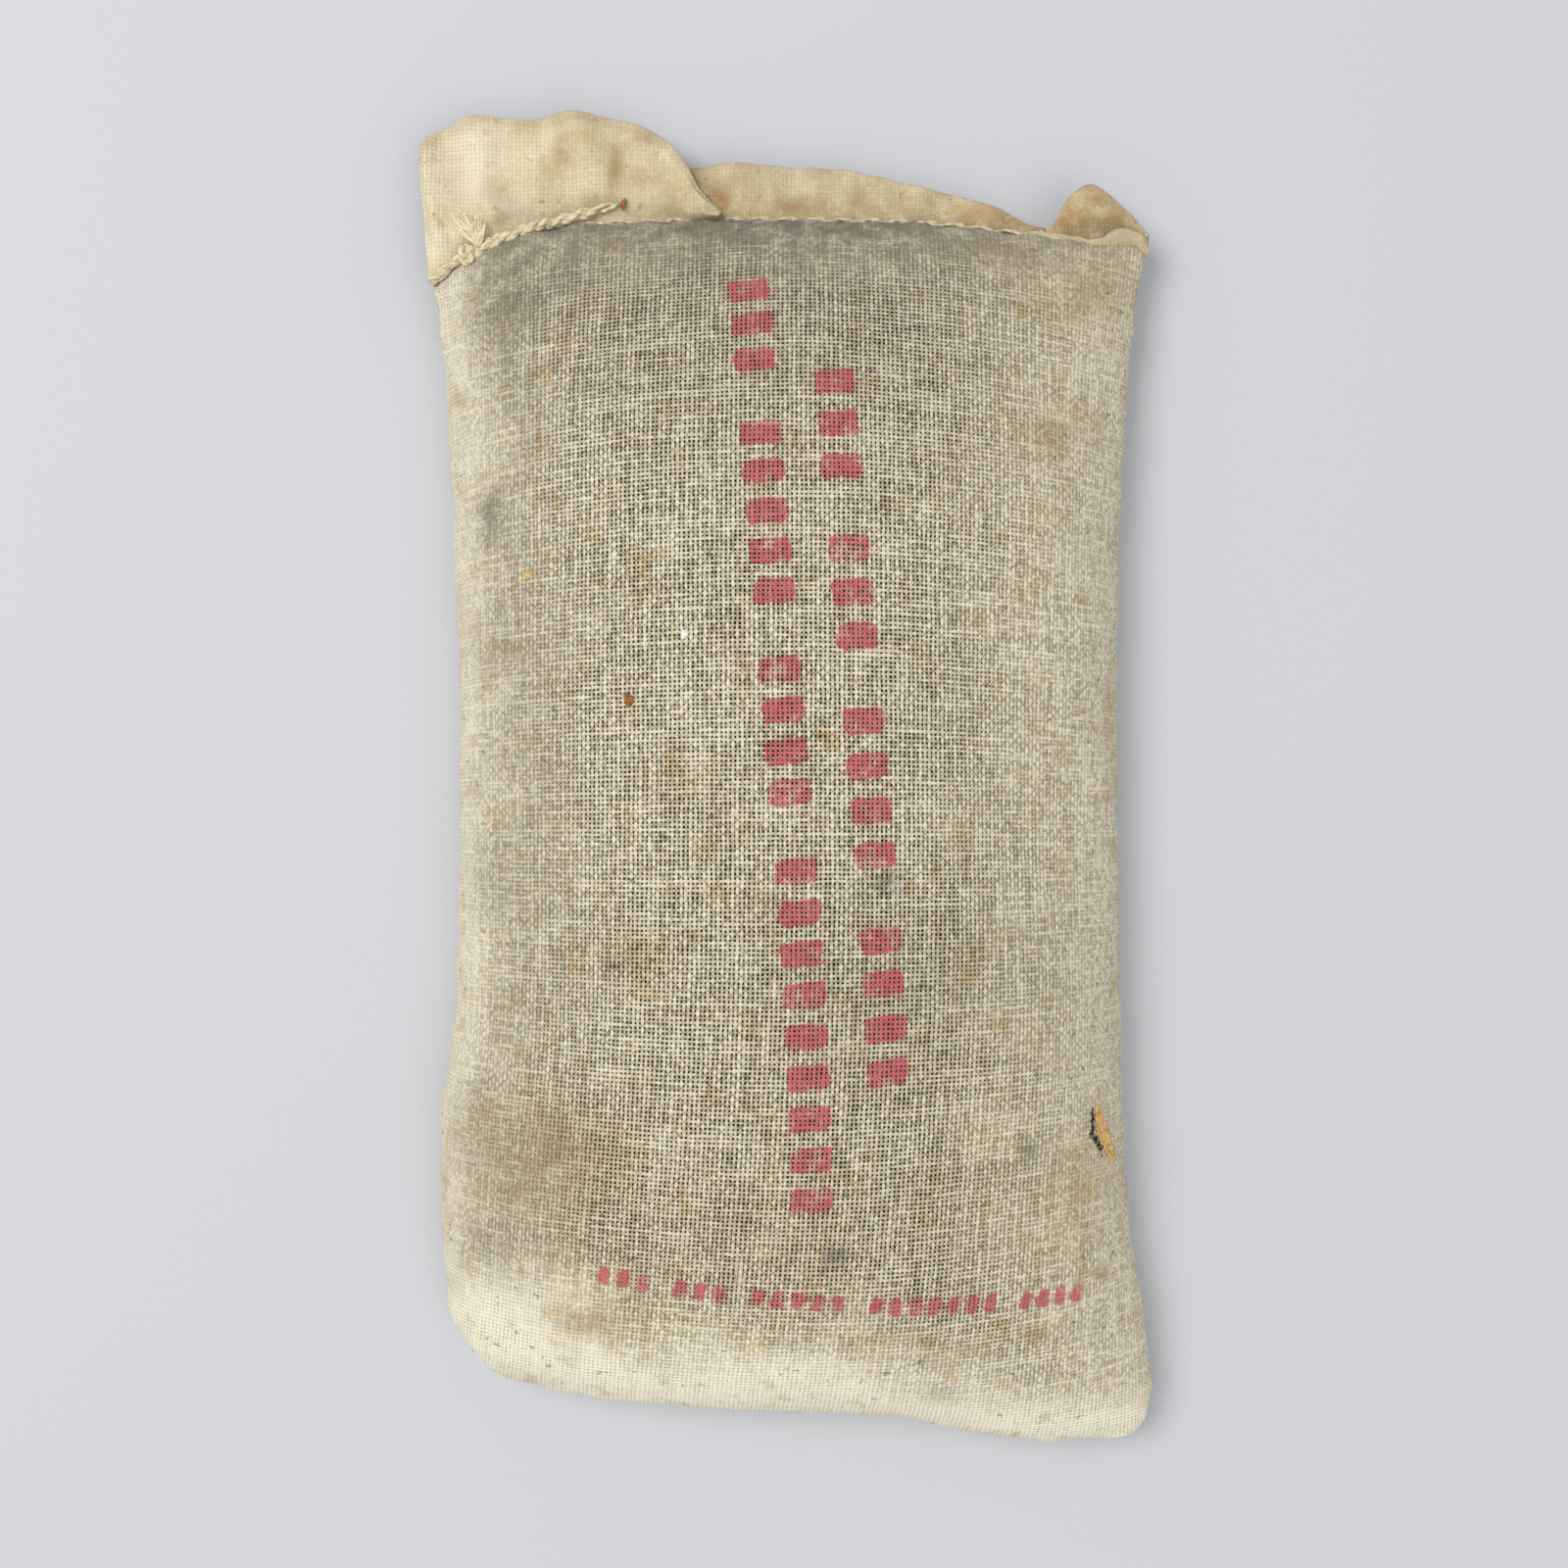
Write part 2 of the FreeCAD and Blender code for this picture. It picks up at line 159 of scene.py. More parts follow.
def grid_mesh(name, points, cloth=None, masks=None, flip=False):
    """Mesh object of a grid of points in millimetres, with its cloth coordinates as a UV map
    (in decimetres) and its masks as vertex attributes."""
    rows, columns = points.shape[:2]
    number = np.arange(rows * columns).reshape(rows, columns)
    faces = np.stack([number[:-1, :-1], number[:-1, 1:], number[1:, 1:], number[1:, :-1]], -1)
    faces = faces.reshape(-1, 4)
    if flip:
        faces = faces[:, ::-1]
    mesh = bpy.data.meshes.new(name)
    mesh.vertices.add(rows * columns)
    mesh.vertices.foreach_set("co", (points * MM).astype(np.float32).ravel())
    mesh.loops.add(faces.size)
    mesh.loops.foreach_set("vertex_index", faces.ravel().astype(np.int32))
    mesh.polygons.add(len(faces))
    mesh.polygons.foreach_set("loop_start", np.arange(0, faces.size, 4, dtype=np.int32))
    mesh.polygons.foreach_set("use_smooth", np.ones(len(faces), bool))
    if cloth is not None:
        layer = mesh.uv_layers.new(name="cloth")
        layer.uv.foreach_set("vector", (cloth.reshape(-1, 2)[faces.ravel()] / DM).ravel())
    for title, values in (masks or {}).items():
        layer = mesh.attributes.new(title, "FLOAT", "POINT")
        layer.data.foreach_set("value", np.asarray(values, np.float32).ravel())
    mesh.update(calc_edges=True)
    return placed(name, mesh)


def tube_points(path, radius, sides):
    """Rings of a tube along a path: path + radius (cos a * side + sin a * lift), where side is
    level and square to the path. The ends close to a point."""
    path = np.asarray(path, float)
    radius = np.broadcast_to(np.asarray(radius, float), len(path))
    path = np.vstack([path[:1], path, path[-1:]])
    radius = np.concatenate([[0], radius, [0]])
    heading = unit(np.gradient(path, axis=0))
    side = unit(np.cross(heading, (0.0, 0.0, 1.0)))
    lift = np.cross(side, heading)
    turn = np.linspace(0, 2 * PI, sides + 1)
    ring = (np.cos(turn)[None, :, None] * side[:, None]
            + np.sin(turn)[None, :, None] * lift[:, None])
    return path[:, None] + radius[:, None, None] * ring


def tube(name, path, radius, sides=8):
    """A tube with its length and its girth as cloth coordinates."""
    points = tube_points(path, radius, sides)
    girth = np.linspace(0, 6, sides + 1)
    cloth = np.stack(np.broadcast_arrays(girth[None, :], runs(points[:, 0])[:, None]), -1)
    return grid_mesh(name, points, cloth, flip=True)


# ---------------------------------------------------------------- the bag's shape

def bag_grid(top, inset=0.0, across=ACROSS, along_=ALONG):
    """One side of the filled bag. In plan it is a Coons patch of the four edges. Its height
    arches as cos(a pi/2)^1.3 across and (1 - r^p)^0.5 along, with s = sin(a pi/2). Under the
    seams the power across is 0.55, and the soft minimum with the seam height lies flat on the
    bench."""
    a, b = np.linspace(-1, 1, across + 1), np.linspace(-1, 1, along_ + 1)
    s, t = np.sin(a * PI / 2), np.sin(b * PI / 2)
    plan = patch(BOTTOM_EDGE, CLOSING_ROW, LEFT_EDGE, RIGHT_EDGE, (s + 1) / 2, (t + 1) / 2)
    peak = -0.12
    away = np.abs(t - peak) / np.where(t > peak, 1 - peak, 1 + peak)
    power = np.where(t > peak, 2.5, 3.4)
    end = np.clip(1 - away**power, 0, 1) ** 0.5
    if top:
        rise = CROWN * np.cos(a * PI / 2) ** 1.3 * end[:, None]
        rise = rise + 0.7 * lumps(plan[..., 0], plan[..., 1], 55, 3) * smooth(rise, 4, 18)
    else:
        drop = CROWN * np.cos(a * PI / 2) ** 0.55 * end[:, None]
        rise = -SEAM_Z * drop / (drop**4 + SEAM_Z**4) ** 0.25
    points = np.dstack([plan, SEAM_Z + rise])
    if inset:
        middle = np.array([0, -8, SEAM_Z + 8.0])
        points = middle + (points - middle) * (1 - inset / np.array([71, 128, 24]))
    return points, a[None, :], b[:, None]


def arc_from(points, axis, place, start):
    """Arc length along each grid line, counted from where its place equals start."""
    step = np.linalg.norm(np.diff(points, axis=axis), axis=2)
    arc = np.insert(np.cumsum(step, axis=axis), 0, 0, axis=axis)
    if axis == 0:
        arc, place = arc.T, place.T
    zero = np.array([np.interp(m, xs, run) for m, xs, run in zip(start, place, arc)])
    arc = arc - zero[:, None]
    return arc.T if axis == 0 else arc


def cloth_coordinates(points):
    """Arc lengths on the surface in millimetres: across from the middle warp thread, which
    leans left towards the bottom, and along from the straightest weft thread. The weft bows
    away from it by 6% of the way, times the square of the way to the side."""
    x, y = points[..., 0], points[..., 1]
    lean = -7.0 * np.clip((-y[:, x.shape[1] // 2] - 20) / 116, 0, 1) ** 2
    u = arc_from(points, 1, x, lean)
    v = arc_from(points, 0, y, np.full(x.shape[1], -30.0))
    return np.dstack([u, v + 0.06 * (y + 30) * (x / 72) ** 2])


def seam_gathers(points, a, b, top):
    """Moves the cloth into the gathers of its seams. Each edge's gathers are a sum of sines
    along it. They push the seam line in and out, fading with the distance d as exp(-d/6), and
    lift the cloth beside it as (d/5) exp(1 - d/5). A sewn edge also draws in as exp(-d/1.6)."""
    x, y = points[..., 0].copy(), points[..., 1].copy()
    moved = points.copy()
    face = 1 if top else -1
    edges = [
        ((1 - a) * SIDE_RUN, y, (-1, 0), 0.45, 0.7, (19, 12.5, 9.1, 31), 11),
        ((1 + a) * SIDE_RUN, y, (1, 0), 0.5, 0.0, (23, 15, 10.5, 37), 12),
        ((1 + b) * END_RUN, x, (0, 1), 1.0, 0.7, (13, 9.4, 21, 11), 14),
        ((1 - b) * END_RUN, x, (0, -1), 0.8, 0.0, (12, 17, 8.3, 27), 13),
    ]
    for gap, place, way, depth, sewn, sizes, seed in edges:
        wave = waves(place, sizes, seed) * depth * PUCKER
        inward = sewn * np.exp(-gap / 1.6) - wave * np.exp(-gap / 6)
        moved[..., 0] += way[0] * inward
        moved[..., 1] += way[1] * inward
        moved[..., 2] += face * wave * (gap / 5) * np.exp(1 - gap / 5) * 0.9
        moved[..., 2] += 0.8 * waves(place, (47, 29), seed + 20) * depth * PUCKER * np.exp(-gap / 9)
    tuck = np.exp(-((y + 62.6) / 3.2) ** 2) * np.exp(-(1 + a) * SIDE_RUN / 9)
    moved[..., 0] += 1.2 * tuck
    stitch = np.sin(PI * x / STITCH) ** 2
    moved[..., 2] -= face * 0.55 * stitch * np.exp(-(1 - b) * END_RUN / 2.5) * smooth(1 - b, 0, 0.01)
    moved[..., 2] = np.maximum(moved[..., 2], 0)
    return moved


def dash_gap(u, v, centre, half, corner=0.7):
    """Distance to a rounded rectangle: negative inside it."""
    du = np.abs(u - centre[0]) - half[0] + corner
    dv = np.abs(v - centre[1]) - half[1] + corner
    return np.hypot(np.maximum(du, 0), np.maximum(dv, 0)) + np.minimum(np.maximum(du, dv), 0) - corner


# Rows of printed dashes: where each starts and ends on the flat cloth, the dash's size across
# and along the row, and how many dashes each group has. GROUP_GAP is the room between groups,
# in dashes.
GROUP_GAP = 0.9
PRINT_ROWS = [
    ((-7.7, 135.1), (7.6, -56.8), (8.6, 5.2), (3, 5, 4, 9)),
    ((9.8, 114.0), (21.7, -31.9), (8.4, 5.4), (3, 3, 4, 4)),
    ((-35.0, -73.0), (68.0, -81.0), (4.2, 2.6), (3, 3, 5, 7, 4)),
]


def print_gap(cloth):
    """Distance in millimetres from the nearest printed dash, on the flat cloth."""
    nearest = np.full(cloth.shape[:2], BARE)
    for start, end, size, groups in PRINT_ROWS:
        start, end = np.array(start), np.array(end)
        length = np.linalg.norm(end - start)
        ahead = (end - start) / length
        beside = np.array([-ahead[1], ahead[0]])
        u, v = (cloth - start) @ beside, (cloth - start) @ ahead
        slots = sum(groups) + GROUP_GAP * (len(groups) - 1)
        pitch = length / (slots - 0.4)
        place = size[1] / 2
        for count in groups:
            for _ in range(count):
                gap = dash_gap(u, v, (0, place), (size[0] / 2, size[1] / 2))
                nearest = np.minimum(nearest, gap)
                place += pitch
            place += GROUP_GAP * pitch
    return nearest


# ---------------------------------------------------------------- shader helpers

def put(tree, kind, *sources, out=0, **settings):
    """Adds a node, sets it up, feeds its inputs in order (None leaves one) and returns an output."""
    made = tree.nodes.new("ShaderNode" + kind)
    for key, value in settings.items():
        setattr(made, key, value)
    for socket, source in zip(made.inputs, sources):
        if isinstance(source, bpy.types.NodeSocket):
            tree.links.new(source, socket)
        elif source is not None:
            socket.default_value = source
    return made.outputs[out]


def sums(tree, way, *values):
    return put(tree, "Math", *values, operation=way)


def times(tree, first, second):
    return put(tree, "Math", first, second, operation="MULTIPLY")


def scaled(tree, value, by, plus):
    return put(tree, "Math", value, by, plus, operation="MULTIPLY_ADD")


def step_between(tree, value, low, high, first=0.0, last=1.0):
    return put(tree, "MapRange", value, low, high, first, last, interpolation_type="SMOOTHSTEP")


def noise(tree, place, scale, detail=2.0, rough=0.5):
    return put(tree, "TexNoise", place, None, scale, detail, rough)


def colour_between(tree, share, first, second):
    return put(tree, "Mix", share, None, None, None, None, None, first, second, out=2,
               data_type="RGBA")


def new_group(name, inputs, outputs):
    """A shader node group with its sockets: name, kind and default of each."""
    tree = bpy.data.node_groups.new(name, "ShaderNodeTree")
    for title, kind, default in inputs:
        socket = tree.interface.new_socket(title, in_out="INPUT", socket_type="NodeSocket" + kind)
        if default is not None:
            socket.default_value = default
    for title, kind in outputs:
        tree.interface.new_socket(title, in_out="OUTPUT", socket_type="NodeSocket" + kind)
    return tree, tree.nodes.new("NodeGroupInput").outputs, tree.nodes.new("NodeGroupOutput").inputs


def use_group(tree, group, **values):
    """Places a group in a material; its inputs are given by name."""
    made = tree.nodes.new("ShaderNodeGroup")
    made.node_tree = group
    for title, source in values.items():
        socket = made.inputs[title]
        if isinstance(source, bpy.types.NodeSocket):
            tree.links.new(source, socket)
        else:
            socket.default_value = source
    return made.outputs


def rgb(red, green, blue):
    """A colour given as 8-bit values, in linear light."""
    v = np.array([red, green, blue]) / 255
    return (*np.where(v < 0.04045, v / 12.92, ((v + 0.055) / 1.055) ** 2.4), 1.0)


def new_material(name, roughness, sheen=0.0):
    material = bpy.data.materials.new(name)
    material.use_nodes = True
    tree = material.node_tree
    shader = tree.nodes["Principled BSDF"]
    shader.inputs["Roughness"].default_value = roughness
    shader.inputs["Specular IOR Level"].default_value = 0.25
    shader.inputs["Sheen Weight"].default_value = sheen
    return material, tree, shader


# ---------------------------------------------------------------- shared effects

def plain_weave_group():
    """Plain weave. U and V count threads, and wander by a little noise. Each warp thread's
    profile is a raised cosine of U and each weft thread's of V, and they pass over and under as
    cos(pi U) cos(pi V). A hole is left where neither reaches. The weft is the thinner of the two,
    so the holes are tall. Slubs thicken single threads, and patches of the cloth lie closer."""
    tree, given, result = new_group("plain_weave", [
        ("Cloth", "Vector", None), ("Threads", "Float", 106.0), ("Cover", "Float", 0.5),
        ("Wander", "Float", 0.55),
    ], [("Height", "Float"), ("Hole", "Float"), ("Tint", "Float")])
    count = put(tree, "VectorMath", given["Cloth"], None, None, given["Threads"], operation="SCALE")
    drift = put(tree, "TexNoise", count, None, 0.13, 3.0, 0.65, out=1)
    drift = put(tree, "VectorMath", drift, (0.5, 0.5, 0.5), operation="SUBTRACT")
    drift = put(tree, "VectorMath", drift, None, None, given["Wander"], operation="SCALE")
    place = put(tree, "VectorMath", count, drift, operation="ADD")
    split = tree.nodes.new("ShaderNodeSeparateXYZ")
    tree.links.new(place, split.inputs[0])
    u, v = split.outputs[0], split.outputs[1]
    close = sums(tree, "SUBTRACT", noise(tree, count, 0.55, 3.0, 0.7), 0.5)

    def thread(place_, other, seed, thinner):
        """One set of threads: its raised-cosine profile, less where the thread runs thin."""
        own = put(tree, "Math", place_, operation="ROUND")
        key = put(tree, "CombineXYZ", times(tree, own, 5.37), times(tree, other, 0.07), seed)
        slub = noise(tree, key, 1.0, 3.0, 0.65)
        raised = scaled(tree, sums(tree, "COSINE", times(tree, place_, 2 * PI)), 0.5, 0.5)
        thin = scaled(tree, sums(tree, "SUBTRACT", 0.5, slub), 1.3, given["Cover"])
        thin = scaled(tree, close, 1.1, sums(tree, "ADD", thin, thinner))
        return step_between(tree, raised, sums(tree, "SUBTRACT", thin, 0.35),
                            sums(tree, "ADD", thin, 0.45)), slub

    warp, warp_slub = thread(u, v, 0.0, -0.06)
    weft, weft_slub = thread(v, u, 9.7, 0.08)
    cross = times(tree, sums(tree, "COSINE", times(tree, u, PI)),
                  sums(tree, "COSINE", times(tree, v, PI)))
    over = scaled(tree, cross, 0.4, 0.6)
    under = scaled(tree, cross, -0.4, 0.6)
    warp_high, weft_high = times(tree, warp, over), times(tree, weft, under)
    tint = put(tree, "Mix", sums(tree, "GREATER_THAN", warp_high, weft_high), None,
               sums(tree, "SUBTRACT", weft_slub, 0.06), sums(tree, "ADD", warp_slub, 0.03))
    tint = scaled(tree, noise(tree, count, 0.75, 3.0, 0.75), 0.6, times(tree, tint, 0.4))
    hole = step_between(tree, sums(tree, "MAXIMUM", warp, weft), 0.2, 0.66, 1.0, 0.0)
    tree.links.new(sums(tree, "MAXIMUM", warp_high, weft_high), result["Height"])
    tree.links.new(hole, result["Hole"])
    tree.links.new(tint, result["Tint"])
    return tree


def stain_group():
    """Stains: noises of Object coordinates, each cut to soft patches or left as mottle."""
    tree, given, result = new_group("stains", [("Place", "Vector", None), ("Size", "Float", 24.0)], [
        ("Wide", "Float"), ("Spots", "Float"), ("Specks", "Float"), ("Mottle", "Float"),
        ("Grain", "Float")])

    def cut(name, finer, detail, rough, *steps):
        cloud = noise(tree, given["Place"], times(tree, given["Size"], finer), detail, rough)
        tree.links.new(step_between(tree, cloud, *steps) if steps else cloud, result[name])

    cut("Wide", 2.0, 5.0, 0.65, 0.52, 0.72)
    cut("Spots", 7.0, 3.0, 0.6, 0.56, 0.7)
    cut("Specks", 19.0, 2.0, 0.55, 0.665, 0.72)
    cut("Mottle", 9.0, 5.0, 0.7, 0.28, 0.62, 0.35, 1.0)
    cut("Grain", 30.0, 2.0, 0.6)
    return tree


def twist_group():
    """Strands of a twisted thread: a slanted cosine of its girth and its length."""
    tree, given, result = new_group("thread_twist", [
        ("Cloth", "Vector", None), ("Turns", "Float", 1.0),
    ], [("Height", "Float"), ("Tint", "Float")])
    split = tree.nodes.new("ShaderNodeSeparateXYZ")
    tree.links.new(given["Cloth"], split.inputs[0])
    girth = times(tree, split.outputs[0], DM * 2 * PI / 3)
    length = times(tree, split.outputs[1], DM * 2 * PI)
    slant = sums(tree, "ADD", girth, times(tree, length, given["Turns"]))
    fibre = noise(tree, given["Cloth"], 60.0, 3.0, 0.7)
    wave = sums(tree, "ADD", sums(tree, "COSINE", slant), times(tree, fibre, 1.5))
    tree.links.new(wave, result["Height"])
    tree.links.new(fibre, result["Tint"])
    return tree


WEAVE, STAINS, TWIST = plain_weave_group(), stain_group(), twist_group()


# ---------------------------------------------------------------- materials

def attribute(tree, name):
    return put(tree, "Attribute", out=2, attribute_name=name)


def object_place(tree):
    return put(tree, "TexCoord", out=3)


def cloth_place(tree):
    return put(tree, "UVMap", uv_map="cloth")


def cotton(name, pitch, cover, tones, soil_and_shade_tones):
    """Undyed plain-woven cotton. The threads are light and dark by slub, and grey and brown by stain
    and by painted shadow marks, with fine ochre blotches and dark specks. The holes show what lies
    behind, with painted shade where the weave gapes."""
    material, tree, shader = new_material(name, 0.92, 0.12)
    pale, gaping = attribute(tree, "pale"), attribute(tree, "open")
    weave = use_group(tree, WEAVE, Cloth=cloth_place(tree), Threads=DM / pitch,
                      Cover=scaled(tree, gaping, cover[1], cover[0]))
    stains = use_group(tree, STAINS, Place=object_place(tree), Size=24.0)
    thread = colour_between(tree, step_between(tree, weave["Tint"], 0.39, 0.59), tones[0], tones[1])
    thread = colour_between(tree, times(tree, pale, 0.85), thread, tones[2])
    blotch = times(tree, stains["Wide"], 0.35)
    brown = times(tree, attribute(tree, "brown"), stains["Mottle"])
    thread = colour_between(tree, sums(tree, "MAXIMUM", blotch, brown), thread, soil_and_shade_tones[0])
    thread = colour_between(tree, times(tree, stains["Spots"], 0.4), thread, soil_and_shade_tones[1])
    grey = times(tree, attribute(tree, "grey"), stains["Mottle"])
    specks = times(tree, stains["Specks"], 0.6)
    thread = colour_between(tree, sums(tree, "MAXIMUM", grey, specks), thread, soil_and_shade_tones[2])
    return material, tree, shader, weave, stains, thread, gaping


def lay_cotton(tree, shader, weave, stains, thread, gaping, holes, bump, cover=None):
    """Paints shade on the threads towards their sides, opens the holes and paints them dark as the
    shade in the weave's gaps, and raises the relief, all of them more where the weave gapes."""
    # Painted shade: the threads darken towards their sides and where they pass under the other set.
    low = scaled(tree, gaping, -0.2, 0.92)
    shade = step_between(tree, weave["Height"], 0.15, 0.85, low, 1.04)
    lit = put(tree, "VectorMath", thread, None, None, shade, operation="SCALE")
    hole = colour_between(tree, gaping, holes[1], holes[0])
    depth = scaled(tree, gaping, 0.4, 0.6)
    colour = colour_between(tree, times(tree, weave["Hole"], depth), lit, hole)
    if cover:
        colour = colour_between(tree, cover[0], colour, cover[1])
    tree.links.new(colour, shader.inputs["Base Color"])
    relief = scaled(tree, stains["Grain"], 0.35, weave["Height"])
    tree.links.new(put(tree, "Bump", bump, 0.0004, None, relief), shader.inputs["Normal"])


def bag_cotton():
    """The bag's own cloth, with the worn red print on the threads' tops and the torn slit, painted
    near-black as the shade inside it.
    """
    # Hole colours: near-black painted shade where the weave gapes, and about the sand's own tone where
    # it closes.
    holes = (rgb(16, 12, 8), rgb(136, 122, 92))
    material, tree, shader, weave, stains, thread, gaping = cotton(
        "greyed_cotton", PITCH, (0.2, 0.21),
        (rgb(166, 152, 120), rgb(222, 212, 186), rgb(236, 228, 203)),
        (rgb(162, 134, 90), rgb(182, 144, 84), rgb(104, 98, 84)))
    ragged = scaled(tree, stains["Grain"], 1.6, -0.8)
    ink = step_between(tree, sums(tree, "ADD", attribute(tree, "ink"), ragged), -0.25, 0.25, 1.0, 0.0)
    worn = step_between(tree, noise(tree, object_place(tree), 260.0, 3.0, 0.6), 0.3, 0.52, 0.45, 1.0)
    tops = step_between(tree, weave["Height"], 0.3, 0.6, 0.35, 0.92)
    ink = times(tree, ink, times(tree, worn, tops))
    thread = colour_between(tree, ink, thread, rgb(192, 66, 84))
    # The slit is painted near-black: painted shade of the bag's inside seen through the tear.
    frayed = scaled(tree, stains["Grain"], 1.1, -0.55)
    slit = step_between(tree, sums(tree, "ADD", attribute(tree, "tear"), frayed), -0.1, 0.3, 1.0, 0.0)
    lay_cotton(tree, shader, weave, stains, thread, gaping, holes, 0.6, (slit, rgb(18, 14, 10)))
    return material


def mouth_cotton():
    """The mouth's cleaner, closer cloth."""
    # Hole colours: the tan cloth behind the gaps, darkened by painted shade, most where the weave
    # gapes.
    holes = (rgb(140, 112, 72), rgb(196, 174, 130))
    material, tree, shader, weave, stains, thread, gaping = cotton(
        "mouth_cotton", FINE_PITCH, (0.2, 0.15),
        (rgb(192, 174, 137), rgb(210, 194, 158), rgb(229, 218, 190)),
        (rgb(152, 120, 74), rgb(190, 152, 92), rgb(128, 112, 86)))
    lay_cotton(tree, shader, weave, stains, thread, gaping, holes, 0.3)
    return material


def thread_material(name, light, dark):
    material, tree, shader = new_material(name, 0.9, 0.2)
    twist = use_group(tree, TWIST, Cloth=cloth_place(tree), Turns=0.45)
    tint = colour_between(tree, step_between(tree, twist["Tint"], 0.35, 0.65), dark, light)
    tree.links.new(tint, shader.inputs["Base Color"])
    tree.links.new(put(tree, "Bump", 0.7, 0.0002, None, twist["Height"]), shader.inputs["Normal"])
    return material


def speckled(name, first, second, scale):
    """Sand, dry fibres and chips: two tones by fine noise, with its relief."""
    material, tree, shader = new_material(name, 0.95)
    grain = noise(tree, object_place(tree), scale, 4.0, 0.7)
    tone = colour_between(tree, step_between(tree, grain, 0.35, 0.65), first, second)
    tree.links.new(tone, shader.inputs["Base Color"])
    tree.links.new(put(tree, "Bump", 0.6, 0.0004, None, grain), shader.inputs["Normal"])
    return material


BAG_COTTON = bag_cotton()
MOUTH_COTTON = mouth_cotton()
COTTON_THREAD = thread_material("cotton_thread", rgb(230, 218, 186), rgb(192, 172, 130))
LOOSE_FIBRE = speckled("loose_fibre", rgb(214, 200, 160), rgb(240, 230, 198), 400.0)
SAND = speckled("dry_sand", rgb(92, 78, 56), rgb(140, 122, 90), 900.0)
DRY_LIP = speckled("dry_lip", rgb(190, 146, 86), rgb(232, 196, 134), 700.0)
CHIP = speckled("brown_chip", rgb(120, 74, 34), rgb(176, 120, 62), 1200.0)
PALE_CHIP = speckled("pale_chip", rgb(226, 220, 204), rgb(246, 242, 232), 900.0)


# ---------------------------------------------------------------- camera, floor and light

def look_down():
    """Camera straight above the seams' plane, as far as gives the bag its spread."""
    camera = placed("camera", bpy.data.cameras.new("camera"))
    height, width = 400.0, 339.2
    camera.location = (-0.0002, -0.0012, (SEAM_Z + height) * MM)
    camera.data.sensor_width = 36.0
    camera.data.lens = 36.0 * height / width
    camera.data.clip_start, camera.data.clip_end = 0.01, 20
    bpy.context.scene.camera = camera


def floor():
    mesh = bpy.data.meshes.new("floor")
    mesh.from_pydata([(-3, -3, 0), (3, -3, 0), (3, 3, 0), (-3, 3, 0)], [], [(0, 1, 2, 3)])
    plate = placed("floor", mesh)
    material, _, shader = new_material("floor_paint", 0.9)
    shader.inputs["Base Color"].default_value = (0.55, 0.55, 0.57, 1)
    mesh.materials.append(material)


def lamp(name, place, size, watts):
    light = placed(name, bpy.data.lights.new(name, "AREA"))
    light.data.shape = "DISK"
    light.data.size = size
    light.data.energy = watts
    light.location = place
    light.rotation_mode = "QUATERNION"
    light.rotation_quaternion = light.location.to_track_quat("Z", "Y")


look_down()
floor()
lamp("window", (-0.75, 0.35, 1.4), 0.9, 16)
lamp("ceiling", (0.6, -0.7, 1.7), 1.6, 10)
world = bpy.data.worlds.new("room")
world.use_nodes = True
world.node_tree.nodes["Background"].inputs[0].default_value = (0.93, 0.97, 1.0, 1)
world.node_tree.nodes["Background"].inputs[1].default_value = 0.55
bpy.context.scene.world = world
bpy.context.scene.view_settings.view_transform = "Standard"


# ---------------------------------------------------------------- thread tail (a free cord)

TAIL_ROUTE = [(-67.0, 112.6), (-58.0, 117.8), (-47.5, 120.2), (-36.0, 123.6)]
TAIL_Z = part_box("closing_thread_tail")[0].z / MM + 1.2


def route_curve(name, points, z):
    """A NURBS spline whose control points are the cord's route."""
    curve = bpy.data.curves.new(name, "CURVE")
    curve.dimensions = "3D"
    spline = curve.splines.new("NURBS")
    spline.points.add(len(points) - 1)
    for control, (x, y) in zip(spline.points, points):
        control.co = (x * MM, y * MM, z * MM, 1)
    spline.order_u = 3
    spline.use_endpoint_u = True
    spline.resolution_u = 48
    return curve


def strand_path(line, turns, swing, phase):
    """A strand's path round a line: line + swing (cos a * side + sin a * up)."""
    up = np.array([0.0, 0.0, 1.0])
    side = np.cross(unit(np.gradient(line, axis=0)), up)
    angle = np.linspace(0, 2 * PI * turns, len(line)) + phase
    return line + (swing * np.cos(angle))[:, None] * side + (swing * np.sin(angle))[:, None] * up


def joined(name, parts):
    """One mesh object made of several."""
    with bpy.context.temp_override(active_object=parts[0], object=parts[0],
                                   selected_objects=parts, selected_editable_objects=parts):
        bpy.ops.object.join()
    parts[0].name = name
    return parts[0]


def finish_piece(piece, material, body, slot, *nodes):
    piece.data.materials.clear()
    piece.data.materials.append(material)
    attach(piece, body)
    if nodes:
        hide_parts(*nodes)


def thread_tail():
    """Two plies twisted round the route, which taper at the bare end, and loose hairs round
    them."""
    guide = placed("tail_guide", route_curve("tail_guide", TAIL_ROUTE, TAIL_Z))
    scene_now = bpy.context.evaluated_depsgraph_get()
    line_mesh = bpy.data.meshes.new_from_object(guide.evaluated_get(scene_now))
    line = np.zeros(len(line_mesh.vertices) * 3)
    line_mesh.vertices.foreach_get("co", line)
    line = line.reshape(-1, 3) / MM
    bpy.data.objects.remove(guide)
    share = np.linspace(0, 1, len(line))
    plies = []
    for number in range(2):
        ply = strand_path(line, 4.2, 0.55, number * PI)
        thick = 0.76 * (1 - 0.5 * smooth(share, 0.8, 1.0))
        plies.append(tube("ply", ply, thick, 10))
    for number in range(14):
        phase = number * 2.4
        start = 40 + (number * 7) % 45
        hair = strand_path(line, 3.1, 0.9 + 0.35 * np.sin(share * 9 + phase), phase)[start:start + 20]
        plies.append(tube("hair", hair, 0.09, 4))
    tail = joined("thread_tail", plies)
    finish_piece(tail, COTTON_THREAD, "bag", "cotton_thread", "closing_thread_tail")


thread_tail()
